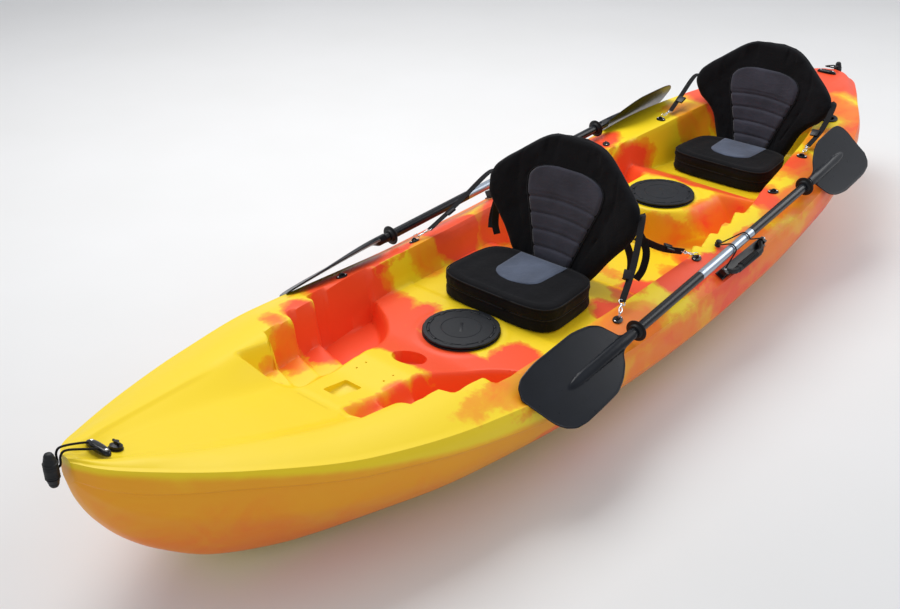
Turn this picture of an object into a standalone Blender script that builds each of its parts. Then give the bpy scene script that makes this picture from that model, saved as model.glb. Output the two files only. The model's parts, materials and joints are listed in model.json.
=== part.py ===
"""Tandem sit-on-top kayak with two seats, two paddles, hatches, handles and deck fittings.

Frame: +X to the bow, +Y to port, +Z up, metres. The keel's flat strip lies at Z = 0 and the
middle of the hull's length is at X = 0.
"""
import bpy
import bmesh
import numpy as np
from math import cos, pi, radians, sin
from mathutils import Matrix, Vector
from mathutils.bvhtree import BVHTree

# ---------------------------------------------------------------- driving dimensions
HULL_END = 1.85            # half of the hull's length
EDGE_INSET = 0.022         # gunwale's outer top edge, inboard of the parting line
CREST_STEP = 0.038         # gunwale crest, outboard of the cockpit's inner edge
WALL_RUN = 0.034           # width over which a cockpit side wall drops
GAP = 0.0004               # clearance between touching pieces
SKIN = 0.008               # hull wall left above the inner cavity

FRONT_HATCH = (0.587, 0.0, 0.213)
MIDDLE_HATCH = (-0.490, 0.0, 0.281)
HATCH_HOLE_R = 0.0875
CUP = (0.805, 0.048, 0.050)            # x, radius, depth
TRAY = (1.066, 0.084, 0.060, 0.018)    # x, length, width, depth
PAN_Z = 0.208

RIDGE_SKEW = 0.30                      # foot ridges run forward as they near the console
RIDGES = (1.100, 0.985, 0.868)         # x of each front foot ridge at the gunwale
POCKET_Z = (0.262, 0.232, 0.200, 0.150)
REAR_TEETH = (-0.160, -0.270, -0.360, -0.450)

PAD_EYES = ((0.698, 0.370), (0.365, 0.382), (-0.093, 0.366), (-0.646, 0.337), (-0.950, 0.291))
STERN_EYE = (-1.364, 0.194)
ROD_HOLDER = (-1.290, 0.230)
DRAIN_X = 1.733
BOW_BRACKET_X = 1.775
STERN_BRACKET_X = -1.770

# x of each backrest's foot, then its cushion's length, width at the front and width at the back
SEATS = {"front": (0.165, 0.285, 0.430, 0.400), "rear": (-1.125, 0.255, 0.400, 0.360)}
CUSHION_HEIGHT = 0.086
BACK_FOOT_Z = 0.232
RECLINE = radians(15)
BACK_THICK = 0.042
BACK_WRAP = 0.45                           # forward curl of the backrest's sides, per metre
BACK_HINGE_Z = 0.312
# storage bag behind the front backrest: foot and top up the back, half width, depth
BAG = (0.175, 0.365, 0.150, 0.088)

SHAFT_R = 0.0150
SHAFT_FORE = Vector((0.390, 0.460, 0.305))   # axis at the fore drip ring, port paddle
SHAFT_AFT = Vector((-0.700, 0.421, 0.364))   # axis at the aft drip ring
SPIGOT_R = 0.0124
SPIGOT_LEN = 0.110
BLADE_LEN = 0.440
BLADE_ROLL = (radians(36), radians(50))     # fore and aft blades, outboard edge down
SPOON = 0.012
FERRULE_LEN = 0.330

HANDLE_X = (-0.115, -0.335)
HANDLE_Y = 0.447
HANDLE_SEAT = 0.0035       # foot of a carry handle above the curved gunwale
KNOB = (-0.211, 0.372)


# ---------------------------------------------------------------- hull lines
def curve(knots):
    """A smooth curve through (x, value) knots that never overshoots them."""
    xs = np.array([k[0] for k in knots])
    ys = np.array([k[1] for k in knots])
    run = np.diff(xs)
    rate = np.diff(ys) / run
    slope = np.zeros(len(xs))
    slope[0] = rate[0]
    slope[-1] = rate[-1]
    for i in range(1, len(xs) - 1):
        a = rate[i - 1]
        b = rate[i]
        slope[i] = 2 * a * b / (a + b) if a * b > 0 else 0.0

    def value(x):
        x = np.clip(x, xs[0], xs[-1])
        i = np.clip(np.searchsorted(xs, x) - 1, 0, len(xs) - 2)
        t = (x - xs[i]) / run[i]
        rise = ys[i] * (1 - t) ** 2 * (1 + 2 * t) + ys[i + 1] * t * t * (3 - 2 * t)
        return rise + run[i] * t * (1 - t) * (slope[i] * (1 - t) - slope[i + 1] * t)
    return value


half_beam = curve([(-1.85, 0.030), (-1.84, 0.075), (-1.80, 0.115), (-1.70, 0.168), (-1.60, 0.214),
                   (-1.30, 0.352), (-0.90, 0.446), (-0.40, 0.474), (0.10, 0.478), (0.60, 0.470),
                   (1.00, 0.435), (1.30, 0.358), (1.55, 0.245), (1.75, 0.124), (1.82, 0.070),
                   (1.85, 0.022)])
edge_z = curve([(-1.85, 0.385), (-1.60, 0.400), (-1.30, 0.380), (-0.95, 0.345), (-0.65, 0.312),
                (-0.40, 0.288), (0.00, 0.264), (0.36, 0.262), (0.60, 0.272), (0.80, 0.288),
                (1.00, 0.309), (1.30, 0.342), (1.55, 0.392), (1.75, 0.445), (1.85, 0.478)])
crest_z = curve([(-1.85, 0.400), (-1.60, 0.416), (-1.30, 0.395), (-0.95, 0.360), (-0.65, 0.338),
                 (-0.30, 0.318), (0.00, 0.312), (0.36, 0.308), (0.70, 0.316), (1.00, 0.334),
                 (1.30, 0.359), (1.55, 0.403), (1.75, 0.452), (1.85, 0.483)])
band = curve([(-1.85, 0.055), (-1.30, 0.053), (-0.90, 0.060), (-0.40, 0.088), (0.10, 0.098),
              (0.60, 0.084), (1.00, 0.058), (1.30, 0.044), (1.55, 0.043), (1.75, 0.055),
              (1.85, 0.046)])
keel_z = curve([(-1.85, 0.320), (-1.82, 0.235), (-1.76, 0.155), (-1.66, 0.083), (-1.50, 0.030),
                (-1.30, 0.005), (-1.15, 0.0), (1.10, 0.0), (1.25, 0.004), (1.40, 0.020),
                (1.50, 0.045), (1.60, 0.083), (1.70, 0.155), (1.747, 0.202), (1.79, 0.258),
                (1.824, 0.320), (1.843, 0.375), (1.85, 0.412)])
deck_centre = curve([(-1.85, 0.402), (-1.70, 0.408), (-1.50, 0.393), (-1.36, 0.374), (-1.20, 0.36),
                     (1.10, 0.262), (1.235, 0.290), (1.40, 0.340), (1.60, 0.400), (1.75, 0.441),
                     (1.82, 0.462), (1.85, 0.470)])
inner_smooth = curve([(-1.45, 0.150), (-1.25, 0.200), (-1.10, 0.235), (-0.95, 0.257),
                      (-0.80, 0.280), (-0.65, 0.300), (-0.50, 0.328), (-0.10, 0.345),
                      (0.50, 0.345), (0.70, 0.350), (0.87, 0.345), (1.00, 0.300), (1.12, 0.255),
                      (1.235, 0.228)])
console_z = curve([(0.45, PAN_Z), (0.47, 0.213), (0.72, 0.213), (0.84, 0.238), (0.90, 0.250),
                   (1.00, 0.250), (1.10, 0.262), (1.235, 0.288)])
console_half = curve([(0.58, 0.420), (0.63, 0.290), (0.68, 0.205), (0.73, 0.155), (0.80, 0.115),
                      (0.87, 0.095), (1.00, 0.083), (1.15, 0.068), (1.235, 0.062)])
rear_floor = curve([(-0.80, 0.208), (-0.62, 0.180), (-0.45, 0.160), (0.08, 0.165)])
plateau_z = curve([(-0.84, PAN_Z), (-0.78, 0.228), (-0.70, 0.260), (-0.62, 0.281), (0.0, 0.281)])


def ease(t):
    """Smooth 0 to 1 step."""
    t = np.clip(t, 0.0, 1.0)
    return t * t * (3 - 2 * t)


def outer_edge(x):
    """Half width of the deck at the gunwale's outer top edge."""
    w = half_beam(x)
    return w - EDGE_INSET * np.minimum(1.0, w / 0.06)


def inner_edge(x):
    """Half width of the cockpit at the gunwale, with its stepped foot braces."""
    steps = 0.228
    for ridge, widen in zip(RIDGES, (0.040, 0.039, 0.045)):
        steps = steps + widen * ease((ridge + 0.008 - x) / 0.016)
    edge = np.where(x > 0.80, np.minimum(steps, 0.350), inner_smooth(x))
    lead = REAR_TEETH[0] + 0.06
    for tooth in REAR_TEETH:
        ramp = np.clip((lead - x) / (lead - tooth), 0, 1)
        edge = edge - 0.026 * ramp * ease((x - tooth + 0.006) / 0.012)
        lead = tooth
    return edge


def foot_floor(x, a):
    """Front footwell floor: stepped pockets that go down towards the stern."""
    s = x - RIDGE_SKEW * np.clip(inner_smooth(x) - a, 0, 0.2)
    level = POCKET_Z[0] + 0.0 * s
    for ridge, above, below in zip(RIDGES, POCKET_Z, POCKET_Z[1:]):
        level = level + (below - above - 0.008) * ease((ridge - s) / 0.022)
        level = level + 0.008 * ease((ridge - 0.022 - s) / 0.085)
    return level


def cockpit_floor(x, a):
    """Everything inside the cockpit walls: floors, consoles and seat pans."""
    c1 = ease((console_half(x) + 0.040 - a) / 0.040)
    fore = foot_floor(x, a)
    fore = fore + (console_z(x) - fore) * c1
    ahead = x > MIDDLE_HATCH[0]
    q = np.where(ahead, np.hypot(x - MIDDLE_HATCH[0], a), a)
    width = 0.045 + 0.060 * ease((-0.34 - x) / 0.12)
    reach = 0.135 + 1.25 * np.maximum(0.0, -0.62 - x)
    c2 = ease((reach + width - q) / width)
    aft = rear_floor(x) + (plateau_z(x) - rear_floor(x)) * c2
    return aft + (fore - aft) * ease((x + 0.02) / 0.10)


def deck_height(x, a):
    """Height of the hull's upper surface at distance a from the centre plane."""
    edge = outer_edge(x)
    crest = np.minimum(inner_smooth(x) + CREST_STEP, 0.74 * edge)
    out = np.clip((a - crest) / (edge - crest), 0, 1)
    crown = crest_z(x) + (edge_z(x) - crest_z(x)) * out ** 1.6
    lid = deck_centre(x) + (crest_z(x) - deck_centre(x)) * ease((a / crest - 0.35) / 0.55)
    cap = np.where(a > crest, crown, lid)
    front = 1.165 + 0.07 * np.clip((a - 0.07) / 0.16, 0, 1)
    well = ease((inner_edge(x) - a) / WALL_RUN)
    well = well * ease((front - x) / 0.030) * ease((x + 1.37) / 0.09)
    return cap * (1 - well) + cockpit_floor(x, a) * well


# ---------------------------------------------------------------- modelling helpers
def material(name, color, rough, metal=0.0):
    mat = bpy.data.materials.new(name)
    mat.use_nodes = True
    shader = mat.node_tree.nodes["Principled BSDF"]
    shader.inputs["Base Color"].default_value = (*color, 1)
    shader.inputs["Roughness"].default_value = rough
    shader.inputs["Metallic"].default_value = metal
    return mat


YELLOW = ((0.90, 0.55, 0.05), 0.42, 0.0)
BLACK = ((0.015, 0.015, 0.018), 0.45, 0.0)
RUBBER = ((0.02, 0.02, 0.022), 0.70, 0.0)
SLATE = ((0.030, 0.036, 0.055), 0.50, 0.0)
FABRIC = ((0.012, 0.012, 0.016), 0.90, 0.0)
STRAP = ((0.010, 0.010, 0.012), 0.80, 0.0)
ALLOY = ((0.62, 0.66, 0.72), 0.30, 1.0)


def place(name, mesh, finish, origin=(0, 0, 0)):
    """Link a mesh modelled in world coordinates, with its object's origin moved to a point."""
    mesh.transform(Matrix.Translation(-Vector(origin)))
    obj = bpy.data.objects.new(name, mesh)
    obj.location = origin
    bpy.context.collection.objects.link(obj)
    mesh.materials.append(material(name + "_finish", *finish))
    mesh.shade_smooth()
    mesh.set_sharp_from_angle(angle=radians(35))
    return obj


def from_rings(rings, closed_ends=True):
    """Closed body through rings of equal point counts, end rings capped."""
    bm = bmesh.new()
    loops = [[bm.verts.new(p) for p in ring] for ring in rings]
    count = len(loops[0])
    for a, b in zip(loops, loops[1:]):
        for i in range(count):
            j = (i + 1) % count
            bm.faces.new((a[i], a[j], b[j], b[i]))
    if closed_ends:
        bm.faces.new(list(reversed(loops[0])))
        bm.faces.new(loops[-1])
    else:
        for i in range(count):
            j = (i + 1) % count
            bm.faces.new((loops[-1][i], loops[-1][j], loops[0][j], loops[0][i]))
    bmesh.ops.recalc_face_normals(bm, faces=bm.faces)
    mesh = bpy.data.meshes.new("piece")
    bm.to_mesh(mesh)
    bm.free()
    return mesh


def basis(axis):
    """Rotation that takes +Z to an axis."""
    return Vector(axis).normalized().to_track_quat("Z", "Y").to_matrix()


def turned(profile, centre, axis=(0, 0, 1), segments=24, solid=True):
    """Body of revolution; profile is (radius, height) from one pole or rim to the other."""
    turn = basis(axis)
    centre = Vector(centre)
    rings = []
    for radius, height in profile:
        ring = []
        for i in range(segments):
            t = 2 * pi * (i + 0.5) / segments
            ring.append(centre + turn @ Vector((radius * cos(t), radius * sin(t), height)))
        rings.append(ring)
    return from_rings(rings, closed_ends=solid)


def boxed(size, matrix):
    """Box of a given size under a placement matrix."""
    bm = bmesh.new()
    bmesh.ops.create_cube(bm, size=1.0)
    bmesh.ops.scale(bm, vec=size, verts=bm.verts)
    bmesh.ops.transform(bm, matrix=matrix, verts=bm.verts)
    mesh = bpy.data.meshes.new("box")
    bm.to_mesh(mesh)
    bm.free()
    return mesh


def smooth_route(points, count):
    """Points along a Catmull-Rom curve through the route's own points."""
    pts = [Vector(p) for p in points]
    pts = [pts[0] * 2 - pts[1], *pts, pts[-1] * 2 - pts[-2]]
    spans = len(pts) - 3
    route = []
    for k in range(count + 1):
        s = min(spans * k / count, spans - 1e-9)
        i = int(s)
        t = s - i
        p0, p1, p2, p3 = pts[i:i + 4]
        route.append(0.5 * (2 * p1 + (p2 - p0) * t + (2 * p0 - 5 * p1 + 4 * p2 - p3) * t * t
                            + (3 * p1 - p0 - 3 * p2 + p3) * t ** 3))
    return route


def cord(name, points, radius, finish, origin=(0, 0, 0), resolution=2):
    data = bpy.data.curves.new(name, "CURVE")
    data.dimensions = "3D"
    data.bevel_depth = radius
    data.bevel_resolution = resolution
    data.use_fill_caps = True
    data.render_resolution_u = 0
    spline = data.splines.new("POLY")
    spline.points.add(len(points) - 1)
    for slot, p in zip(spline.points, points):
        slot.co = (*(Vector(p) - Vector(origin)), 1)
    obj = bpy.data.objects.new(name, data)
    obj.location = origin
    bpy.context.collection.objects.link(obj)
    data.materials.append(material(name + "_finish", *finish))
    return obj


def cut(target, cutter):
    cutter.hide_render = True
    cutter.display_type = "WIRE"
    mod = target.modifiers.new("cut", "BOOLEAN")
    mod.operation = "DIFFERENCE"
    mod.object = cutter


def cutter_from(mesh, name):
    obj = bpy.data.objects.new(name, mesh)
    bpy.context.collection.objects.link(obj)
    return obj


# ---------------------------------------------------------------- hull
STATIONS = (-1.85, -1.84, -1.80, -1.72, -1.60, -1.46, -1.37, -1.325, -1.28, -1.10, -0.93, -0.86,
            -0.78, -0.70, -0.62, -0.55, -0.456, -0.444, -0.40, -0.366, -0.354, -0.325, -0.276,
            -0.264, -0.166, -0.154, -0.02, 0.08, 0.25, 0.45, 0.472, 0.58, 0.63, 0.68, 0.72, 0.78,
            0.846, 0.868, 0.90, 0.963, 0.985, 1.00, 1.078, 1.100, 1.165, 1.195, 1.235, 1.33, 1.48,
            1.62, 1.74, 1.80, 1.84, 1.85)


def lower_half(x):
    """Hull section from the keel's centre line out and up to the gunwale's outer edge."""
    w = float(half_beam(x))
    low = float(keel_z(x))
    top = float(edge_z(x))
    part = top - float(band(x))
    rise = part - low
    chine = 0.40 + 0.09 * float(ease((abs(x) - 0.9) / 0.6))
    return [(0.0, low), (0.10 * w, low), (0.45 * w, low + 0.10 * rise),
            (0.80 * w, low + chine * rise), (0.94 * w, low + 0.74 * rise),
            (w - 0.010 * w / 0.3 - 0.001, part - 0.010 * min(1, rise / 0.1)), (w, part),
            (w - 0.05 * (w - float(outer_edge(x))), part + 0.40 * (top - part)),
            (w - 0.4 * (w - float(outer_edge(x))), top - 0.010)]


def deck_rows(x):
    """Distances from the centre plane of the deck's points, outside to inside."""
    edge = float(outer_edge(x))
    if -1.37 < x < 1.235:
        side = float(inner_edge(x))
        crest = min(float(inner_smooth(x)) + CREST_STEP, 0.74 * edge)
        base = side - WALL_RUN
        foot = min(float(console_half(x)) + 0.040, 0.80 * base)
        if -0.90 < x < 0.05:
            foot = 0.78 * base
        knee = 0.62 * foot
        return [edge, 0.5 * (edge + crest), crest, side + 0.003, side - 0.5 * WALL_RUN, base,
                0.5 * (base + foot), foot, 0.5 * (foot + knee), knee, 0.5 * knee, 0.0]
    return [edge * f for f in (1, 0.86, 0.74, 0.66, 0.58, 0.50, 0.42, 0.34, 0.26, 0.18, 0.09, 0)]


def skewed(x, a):
    """Stations lean along the foot ridges inside the front footwells."""
    lean = RIDGE_SKEW * float(ease((x - 0.78) / 0.08) * ease((1.165 - x) / 0.05))
    return x + lean * min(max(float(inner_smooth(x)) - a, 0.0), 0.2)


def hull_ring(x):
    """Whole section: up the port side, over the deck and down the starboard side."""
    half = [Vector((x, y, z)) for y, z in lower_half(x)]
    for a in deck_rows(x):
        xs = min(skewed(x, a), HULL_END)
        half.append(Vector((xs, a, float(deck_height(xs, a)))))
    mirror = [Vector((p.x, -p.y, p.z)) for p in reversed(half[1:-1])]
    return half + mirror


def cavity_limits(x, a):
    """Floor and ceiling of the inner hollow, kept inside the hull's skin."""
    section = lower_half(x)[:7]
    low = float(np.interp(a, [p[0] for p in section], [p[1] for p in section]))
    near = [float(deck_height(x + dx, max(0.0, a + da)))
            for dx in (-0.15, -0.10, -0.05, 0, 0.05, 0.10, 0.15)
            for da in (-0.085, -0.04, 0, 0.04, 0.085)]
    top = min(near) - SKIN
    if abs(x - 0.94) < 0.32 and a < 0.17:
        top = min(top, float(console_z(CUP[0])) - CUP[2] - SKIN)
    return low + 0.020, top


def cavity_mesh():
    rings = []
    for x in np.linspace(-1.66, 1.60, 23):
        reach = 0.0
        for a in np.linspace(0, 0.90 * float(half_beam(x)), 30):
            floor, top = cavity_limits(x, a)
            if top - floor < 0.008:
                break
            reach = a
        spread = [f * reach for f in np.linspace(-1, 1, 13)]
        limits = [cavity_limits(x, abs(y)) for y in spread]
        lower = [Vector((x, y, pair[0])) for y, pair in zip(spread, limits)]
        upper = [Vector((x, y, pair[1])) for y, pair in zip(spread, limits)]
        rings.append(lower + list(reversed(upper)))
    return from_rings(rings)


def make_hull():
    hull = place("hull_shell", from_rings([hull_ring(x) for x in STATIONS]), YELLOW)
    facets = bmesh.new()
    facets.from_mesh(hull.data)
    solid = BVHTree.FromBMesh(facets)
    facets.free()
    cut(hull, cutter_from(cavity_mesh(), "cut_cavity"))
    for name, (x, y, z), deep in (("front", FRONT_HATCH, 0.075), ("middle", MIDDLE_HATCH, 0.150)):
        hole = turned([(HATCH_HOLE_R, -deep), (HATCH_HOLE_R, 0.05)], (x, y, z), segments=28)
        cut(hull, cutter_from(hole, f"cut_{name}_hatch"))
    cup_z = float(console_z(CUP[0]))
    cup = turned([(CUP[1] * 0.9, -CUP[2]), (CUP[1], 0.04)], (CUP[0], 0, cup_z), segments=20)
    cut(hull, cutter_from(cup, "cut_cup"))
    tray_z = float(console_z(TRAY[0]))
    tray_at = Matrix.Translation((TRAY[0], 0, tray_z - TRAY[3] + 0.05))
    cut(hull, cutter_from(boxed((TRAY[1], TRAY[2], 0.10), tray_at), "cut_tray"))
    for side in (1, -1):
        point, normal = seat_on(solid, ROD_HOLDER[0], side * ROD_HOLDER[1], 0.034)
        hole = turned([(0.0240, -0.185), (0.0240, 0.05)], point, normal, segments=16)
        cut(hull, cutter_from(hole, f"cut_rod_{side}"))
    point, normal = seat_on(solid, DRAIN_X, 0, 0.017)
    hole = turned([(0.0115, -0.030), (0.0115, 0.03)], point, normal, segments=16)
    cut(hull, cutter_from(hole, "cut_drain"))
    return solid


def seat_on(hull, x, y, reach):
    """Lowest plane that clears the hull's facets within reach of (x, y): point and normal."""
    samples = []
    for i in range(-4, 5):
        for j in range(-4, 5):
            start = Vector((x + reach * i / 4, y + reach * j / 4, 1.0))
            hit = hull.ray_cast(start, Vector((0, 0, -1)))[0]
            if hit:
                samples.append(hit)
    grid = np.array([(p.x - x, p.y - y, 1.0) for p in samples])
    slope = np.linalg.lstsq(grid, np.array([p.z for p in samples]), rcond=None)[0]
    normal = Vector((-slope[0], -slope[1], 1.0)).normalized()
    middle = Vector((x, y, slope[2]))
    rise = max((p - middle).dot(normal) for p in samples)
    return middle + normal * (rise + 0.0002), normal


# ---------------------------------------------------------------- hatches and drain
def make_hatch(name, centre):
    x, y, z = centre
    seat = z + GAP
    rim = [(0.0820, seat - 0.030), (0.0865, seat - 0.030), (0.0865, seat), (0.1140, seat),
           (0.1140, seat + 0.0030), (0.1120, seat + 0.0045), (0.0820, seat + 0.0045)]
    place(name + "_hatch_rim", turned(rim, (x, y, 0), segments=28, solid=False), SLATE, centre)
    base = seat + 0.0045 + GAP
    seal = [(0.0900, base), (0.0970, base), (0.0970, base + 0.0028), (0.0900, base + 0.0028)]
    place(name + "_hatch_seal", turned(seal, (x, y, 0), segments=28, solid=False), RUBBER, centre)
    low = base + 0.0028 + GAP
    lid = [(0.0700, low - 0.018), (0.0780, low - 0.018), (0.0780, low), (0.1130, low),
           (0.1130, low + 0.0035), (0.1110, low + 0.0055)]
    under = [(0.0700, low)]
    place(name + "_hatch_cover", lid_body(lid, under, (x, y, 0)), SLATE, centre)


def lid_body(outside, underside, centre):
    """Turned lid: its skirt's outside up to the rim, closed by a top and an under panel."""
    rings = [ring_points(r, h, centre, 28) for r, h in reversed(underside)]
    rings += [ring_points(r, h, centre, 28) for r, h in outside]
    return from_rings(rings)


def ring_points(radius, height, centre, segments):
    angles = [2 * pi * (i + 0.5) / segments for i in range(segments)]
    return [Vector(centre) + Vector((radius * cos(t), radius * sin(t), height)) for t in angles]


def make_drain(hull):
    point, normal = seat_on(hull, DRAIN_X, 0, 0.017)
    bush = [(0.0078, -0.020), (0.0110, -0.020), (0.0110, GAP), (0.0170, GAP), (0.0170, 0.0030),
            (0.0078, 0.0030)]
    place("drain_bushing", turned(bush, point, normal, 16, solid=False), BLACK, point)
    top = 0.0030 + GAP
    plug = [(0.0074, -0.016), (0.0074, top), (0.0145, top), (0.0145, top + 0.006),
            (0.0060, top + 0.010), (0.0060, top + 0.016)]
    place("drain_plug", turned(plug, point, normal, 16), BLACK, point)


# ---------------------------------------------------------------- deck fittings
def make_pad_eye(hull, name, x, y):
    point, normal = seat_on(hull, x, y, 0.014)
    dome = [(0.0190, GAP), (0.0180, 0.0050), (0.0080, 0.0115)]
    mesh = turned(dome, (0, 0, 0), (0, 0, 1), 12)
    mesh.transform(Matrix.Diagonal((1.0, 0.72, 1.0, 1.0)))
    turn = basis(normal).to_4x4()
    mesh.transform(Matrix.Translation(point) @ turn)
    place(name, mesh, BLACK, point)


def make_end_handle(hull, name, bracket_x, way):
    """Two-lobed bracket, cord loop and toggle grip; way is +1 at the bow and -1 at the stern."""
    point, normal = seat_on(hull, bracket_x, 0, 0.040)
    lobes = []
    for f in range(20):
        t = 2 * pi * f / 20
        lobes.append((0.0135 * cos(t) * (1 + 0.25 * sin(t) ** 2), 0.040 * sin(t)))
    turn = basis(normal)
    rings = []
    for grow, height in ((1.0, GAP), (1.0, 0.007), (0.62, 0.0125)):
        rings.append([point + turn @ Vector((grow * y, grow * x, height)) for x, y in lobes])
    flat = from_rings(rings)
    place(name + "_bracket", flat, BLACK, point)
    tip_z = float(crest_z(way * HULL_END))
    hang = Vector((way * (HULL_END + 0.033), 0, tip_z - 0.016))
    pivot = point + normal * 0.020 + Vector((way * 0.022, 0, 0.0))
    grip = [(0.0080, -0.042), (0.0120, -0.036), (0.0155, -0.015), (0.0165, 0.0), (0.0155, 0.015),
            (0.0120, 0.036), (0.0080, 0.042)]
    place(name + "_grip", turned(grip, hang, (0, 0, 1), 14), RUBBER, pivot)
    over = Vector((way * (HULL_END - 0.005), 0, tip_z + 0.018))
    port = Vector((0, 0.012, 0))
    near = hang + Vector((-way * 0.0195, 0, 0.004))
    route = [near + port * 0.35, near + Vector((way * -0.002, 0.004, 0.024)), over + port * 0.8,
             pivot + port * 1.4, pivot, pivot - port * 1.4, over - port * 0.8,
             near + Vector((way * -0.002, -0.004, 0.024)), near - port * 0.35]
    cord(name + "_cord", smooth_route(route, 28), 0.0026, STRAP, pivot)


def make_stern_eye(hull, name, side):
    point, normal = seat_on(hull, STERN_EYE[0], side * STERN_EYE[1], 0.018)
    dome = [(0.0150, GAP), (0.0145, 0.0050), (0.0080, 0.0090)]
    place(name, turned(dome, point, normal, 12), BLACK, point)


def make_rod_holder(hull, name, side):
    point, normal = seat_on(hull, ROD_HOLDER[0], side * ROD_HOLDER[1], 0.034)
    tube = [(0.0205, -0.150), (0.0235, -0.150), (0.0235, GAP), (0.0340, GAP),
            (0.0340, 0.0045), (0.0205, 0.0045)]
    place(name, turned(tube, point, normal, 16, solid=False), BLACK, point)


# ---------------------------------------------------------------- seats
def rounded_rect(length, width, corner, count=4):
    """Corner-rounded rectangle in the XY plane, anticlockwise."""
    pts = []
    for k, (sx, sy) in enumerate(((1, 1), (-1, 1), (-1, -1), (1, -1))):
        for i in range(count + 1):
            t = (k + i / count) * pi / 2
            pts.append((sx * (length / 2 - corner) + corner * cos(t),
                        sy * (width / 2 - corner) + corner * sin(t)))
    return pts


back_outline = curve([(0.0, 0.120), (0.05, 0.150), (0.10, 0.172), (0.158, 0.193), (0.178, 0.228),
                      (0.20, 0.252), (0.26, 0.276),
                      (0.31, 0.268), (0.345, 0.235), (0.38, 0.170), (0.41, 0.115),
                      (0.430, 0.060)])


def back_point(foot_x, s, y, depth):
    """Point on a reclined backrest: s up its face, y across, depth behind the face."""
    wrap = BACK_WRAP * y * y
    return Vector((foot_x - s * sin(RECLINE) - depth * cos(RECLINE) + wrap, y,
                   BACK_FOOT_Z + s * cos(RECLINE) - depth * sin(RECLINE)))


def make_seat(name, foot_x, length, wide, narrow):
    centre = Vector((foot_x + 0.012 + length / 2, 0, PAN_Z + GAP))
    rings = []
    for shrink, rise in ((0.012, 0.0), (0.0, 0.012), (0.004, 0.060), (0.0, CUSHION_HEIGHT - 0.010),
                         (0.012, CUSHION_HEIGHT)):
        outline = rounded_rect(length - 2 * shrink, wide - 2 * shrink, 0.055)
        rings.append([centre + Vector((px, py * (1 - (1 - narrow / wide) * (0.5 - px / length)), rise))
                      for px, py in outline])
    place(name + "_seat_cushion", from_rings(rings), FABRIC, centre)
    pivot = hinge_point(foot_x)
    across = np.linspace(-1, 1, 9)
    rings = []
    for s in (0.0, 0.05, 0.10, 0.158, 0.178, 0.20, 0.26, 0.31, 0.345, 0.38, 0.41, 0.430):
        half = float(back_outline(s))
        thick = BACK_THICK * (1.0 if s < 0.42 else 0.6)
        face = [back_point(foot_x, s, half * f, 0.0) for f in across]
        rear = [back_point(foot_x, s, half * f, thick) for f in reversed(across)]
        rings.append(face + rear)
    place(name + "_seat_back", from_rings(rings), FABRIC, pivot)


def make_bag(name, foot_x):
    """Soft bag that hangs on the rear of a backrest, its top falling away to the rear."""
    foot, top, half, deep = BAG
    rings = []
    for f in (0.0, 0.06, 0.22, 0.55, 0.82, 0.96, 1.0):
        depth = deep * f
        inset = 0.028 * (f ** 4)
        low = foot + 0.020 * f ** 3
        high = top - 0.062 * f ** 1.5
        wide = half - inset
        near = BACK_THICK + GAP
        ring = []
        for s, y in rounded_rect(high - low, 2 * wide, 0.030):
            spot = back_point(foot_x, 0.5 * (low + high) + s, 0.0, near + depth)
            ring.append(Vector((spot.x, y, spot.z)))
        rings.append(ring)
    place(name + "_bag", from_rings(rings), FABRIC, rings[0][3])


def hinge_point(foot_x):
    """The backrest folds about its sewn seam, just above the cushion."""
    return Vector((foot_x - (BACK_HINGE_Z - BACK_FOOT_Z) * sin(RECLINE) / cos(RECLINE), 0,
                   BACK_HINGE_Z))


def swept(points, radii, segments=10):
    """Round body of varying radius along a bent route."""
    rings = []
    for i, p in enumerate(points):
        ahead = points[min(i + 1, len(points) - 1)] - points[max(i - 1, 0)]
        turn = ahead.to_track_quat("Z", "Y").to_matrix()
        angles = [2 * pi * (k + 0.5) / segments for k in range(segments)]
        rings.append([p + turn @ Vector((radii[i] * cos(t), radii[i] * sin(t), 0)) for t in angles])
    return from_rings(rings)


def ribbon(points, width_way, width, thick):
    """Flat webbing along a route, as a closed body."""
    rings = []
    for i, p in enumerate(points):
        ahead = points[min(i + 1, len(points) - 1)] - points[max(i - 1, 0)]
        side = (width_way - ahead * (width_way.dot(ahead) / ahead.length_squared)).normalized()
        up = ahead.cross(side).normalized()
        rings.append([p + side * (sx * width / 2) + up * (sy * thick / 2)
                      for sx, sy in ((1, 1), (-1, 1), (-1, -1), (1, -1))])
    return from_rings(rings)


def make_straps(hull, name, foot_x, fore_eye, aft_eye):
    """One webbing strap on each side: fore eye, up to the backrest's edge, down to the aft eye."""
    for side, label in ((1, "port"), (-1, "starboard")):
        knot = back_point(foot_x, 0.190, side * 0.283, 0.5 * BACK_THICK)
        ends = []
        for eye_x, eye_y in (fore_eye, aft_eye):
            point, normal = seat_on(hull, eye_x, side * eye_y, 0.019)
            ends.append(point + normal * 0.030)
        fore = ends[0] + (knot - ends[0]) * 0.06
        aft = ends[1] + (knot - ends[1]) * 0.06
        route = [fore, fore.lerp(knot, 0.5) + Vector((0, side * 0.004, -0.006)), knot,
                 aft.lerp(knot, 0.5) + Vector((0, side * 0.004, -0.006)), aft]
        mesh = ribbon(smooth_route(route, 10), Vector((0, 0.35 * side, 1)), 0.024, 0.0024)
        place(f"{name}_{label}_strap", mesh, STRAP, knot)


# ---------------------------------------------------------------- paddles
def paddle_axis(side):
    fore = Vector((SHAFT_FORE.x, side * SHAFT_FORE.y, SHAFT_FORE.z))
    aft = Vector((SHAFT_AFT.x, side * SHAFT_AFT.y, SHAFT_AFT.z))
    return fore, aft, (fore - aft).normalized()


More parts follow.
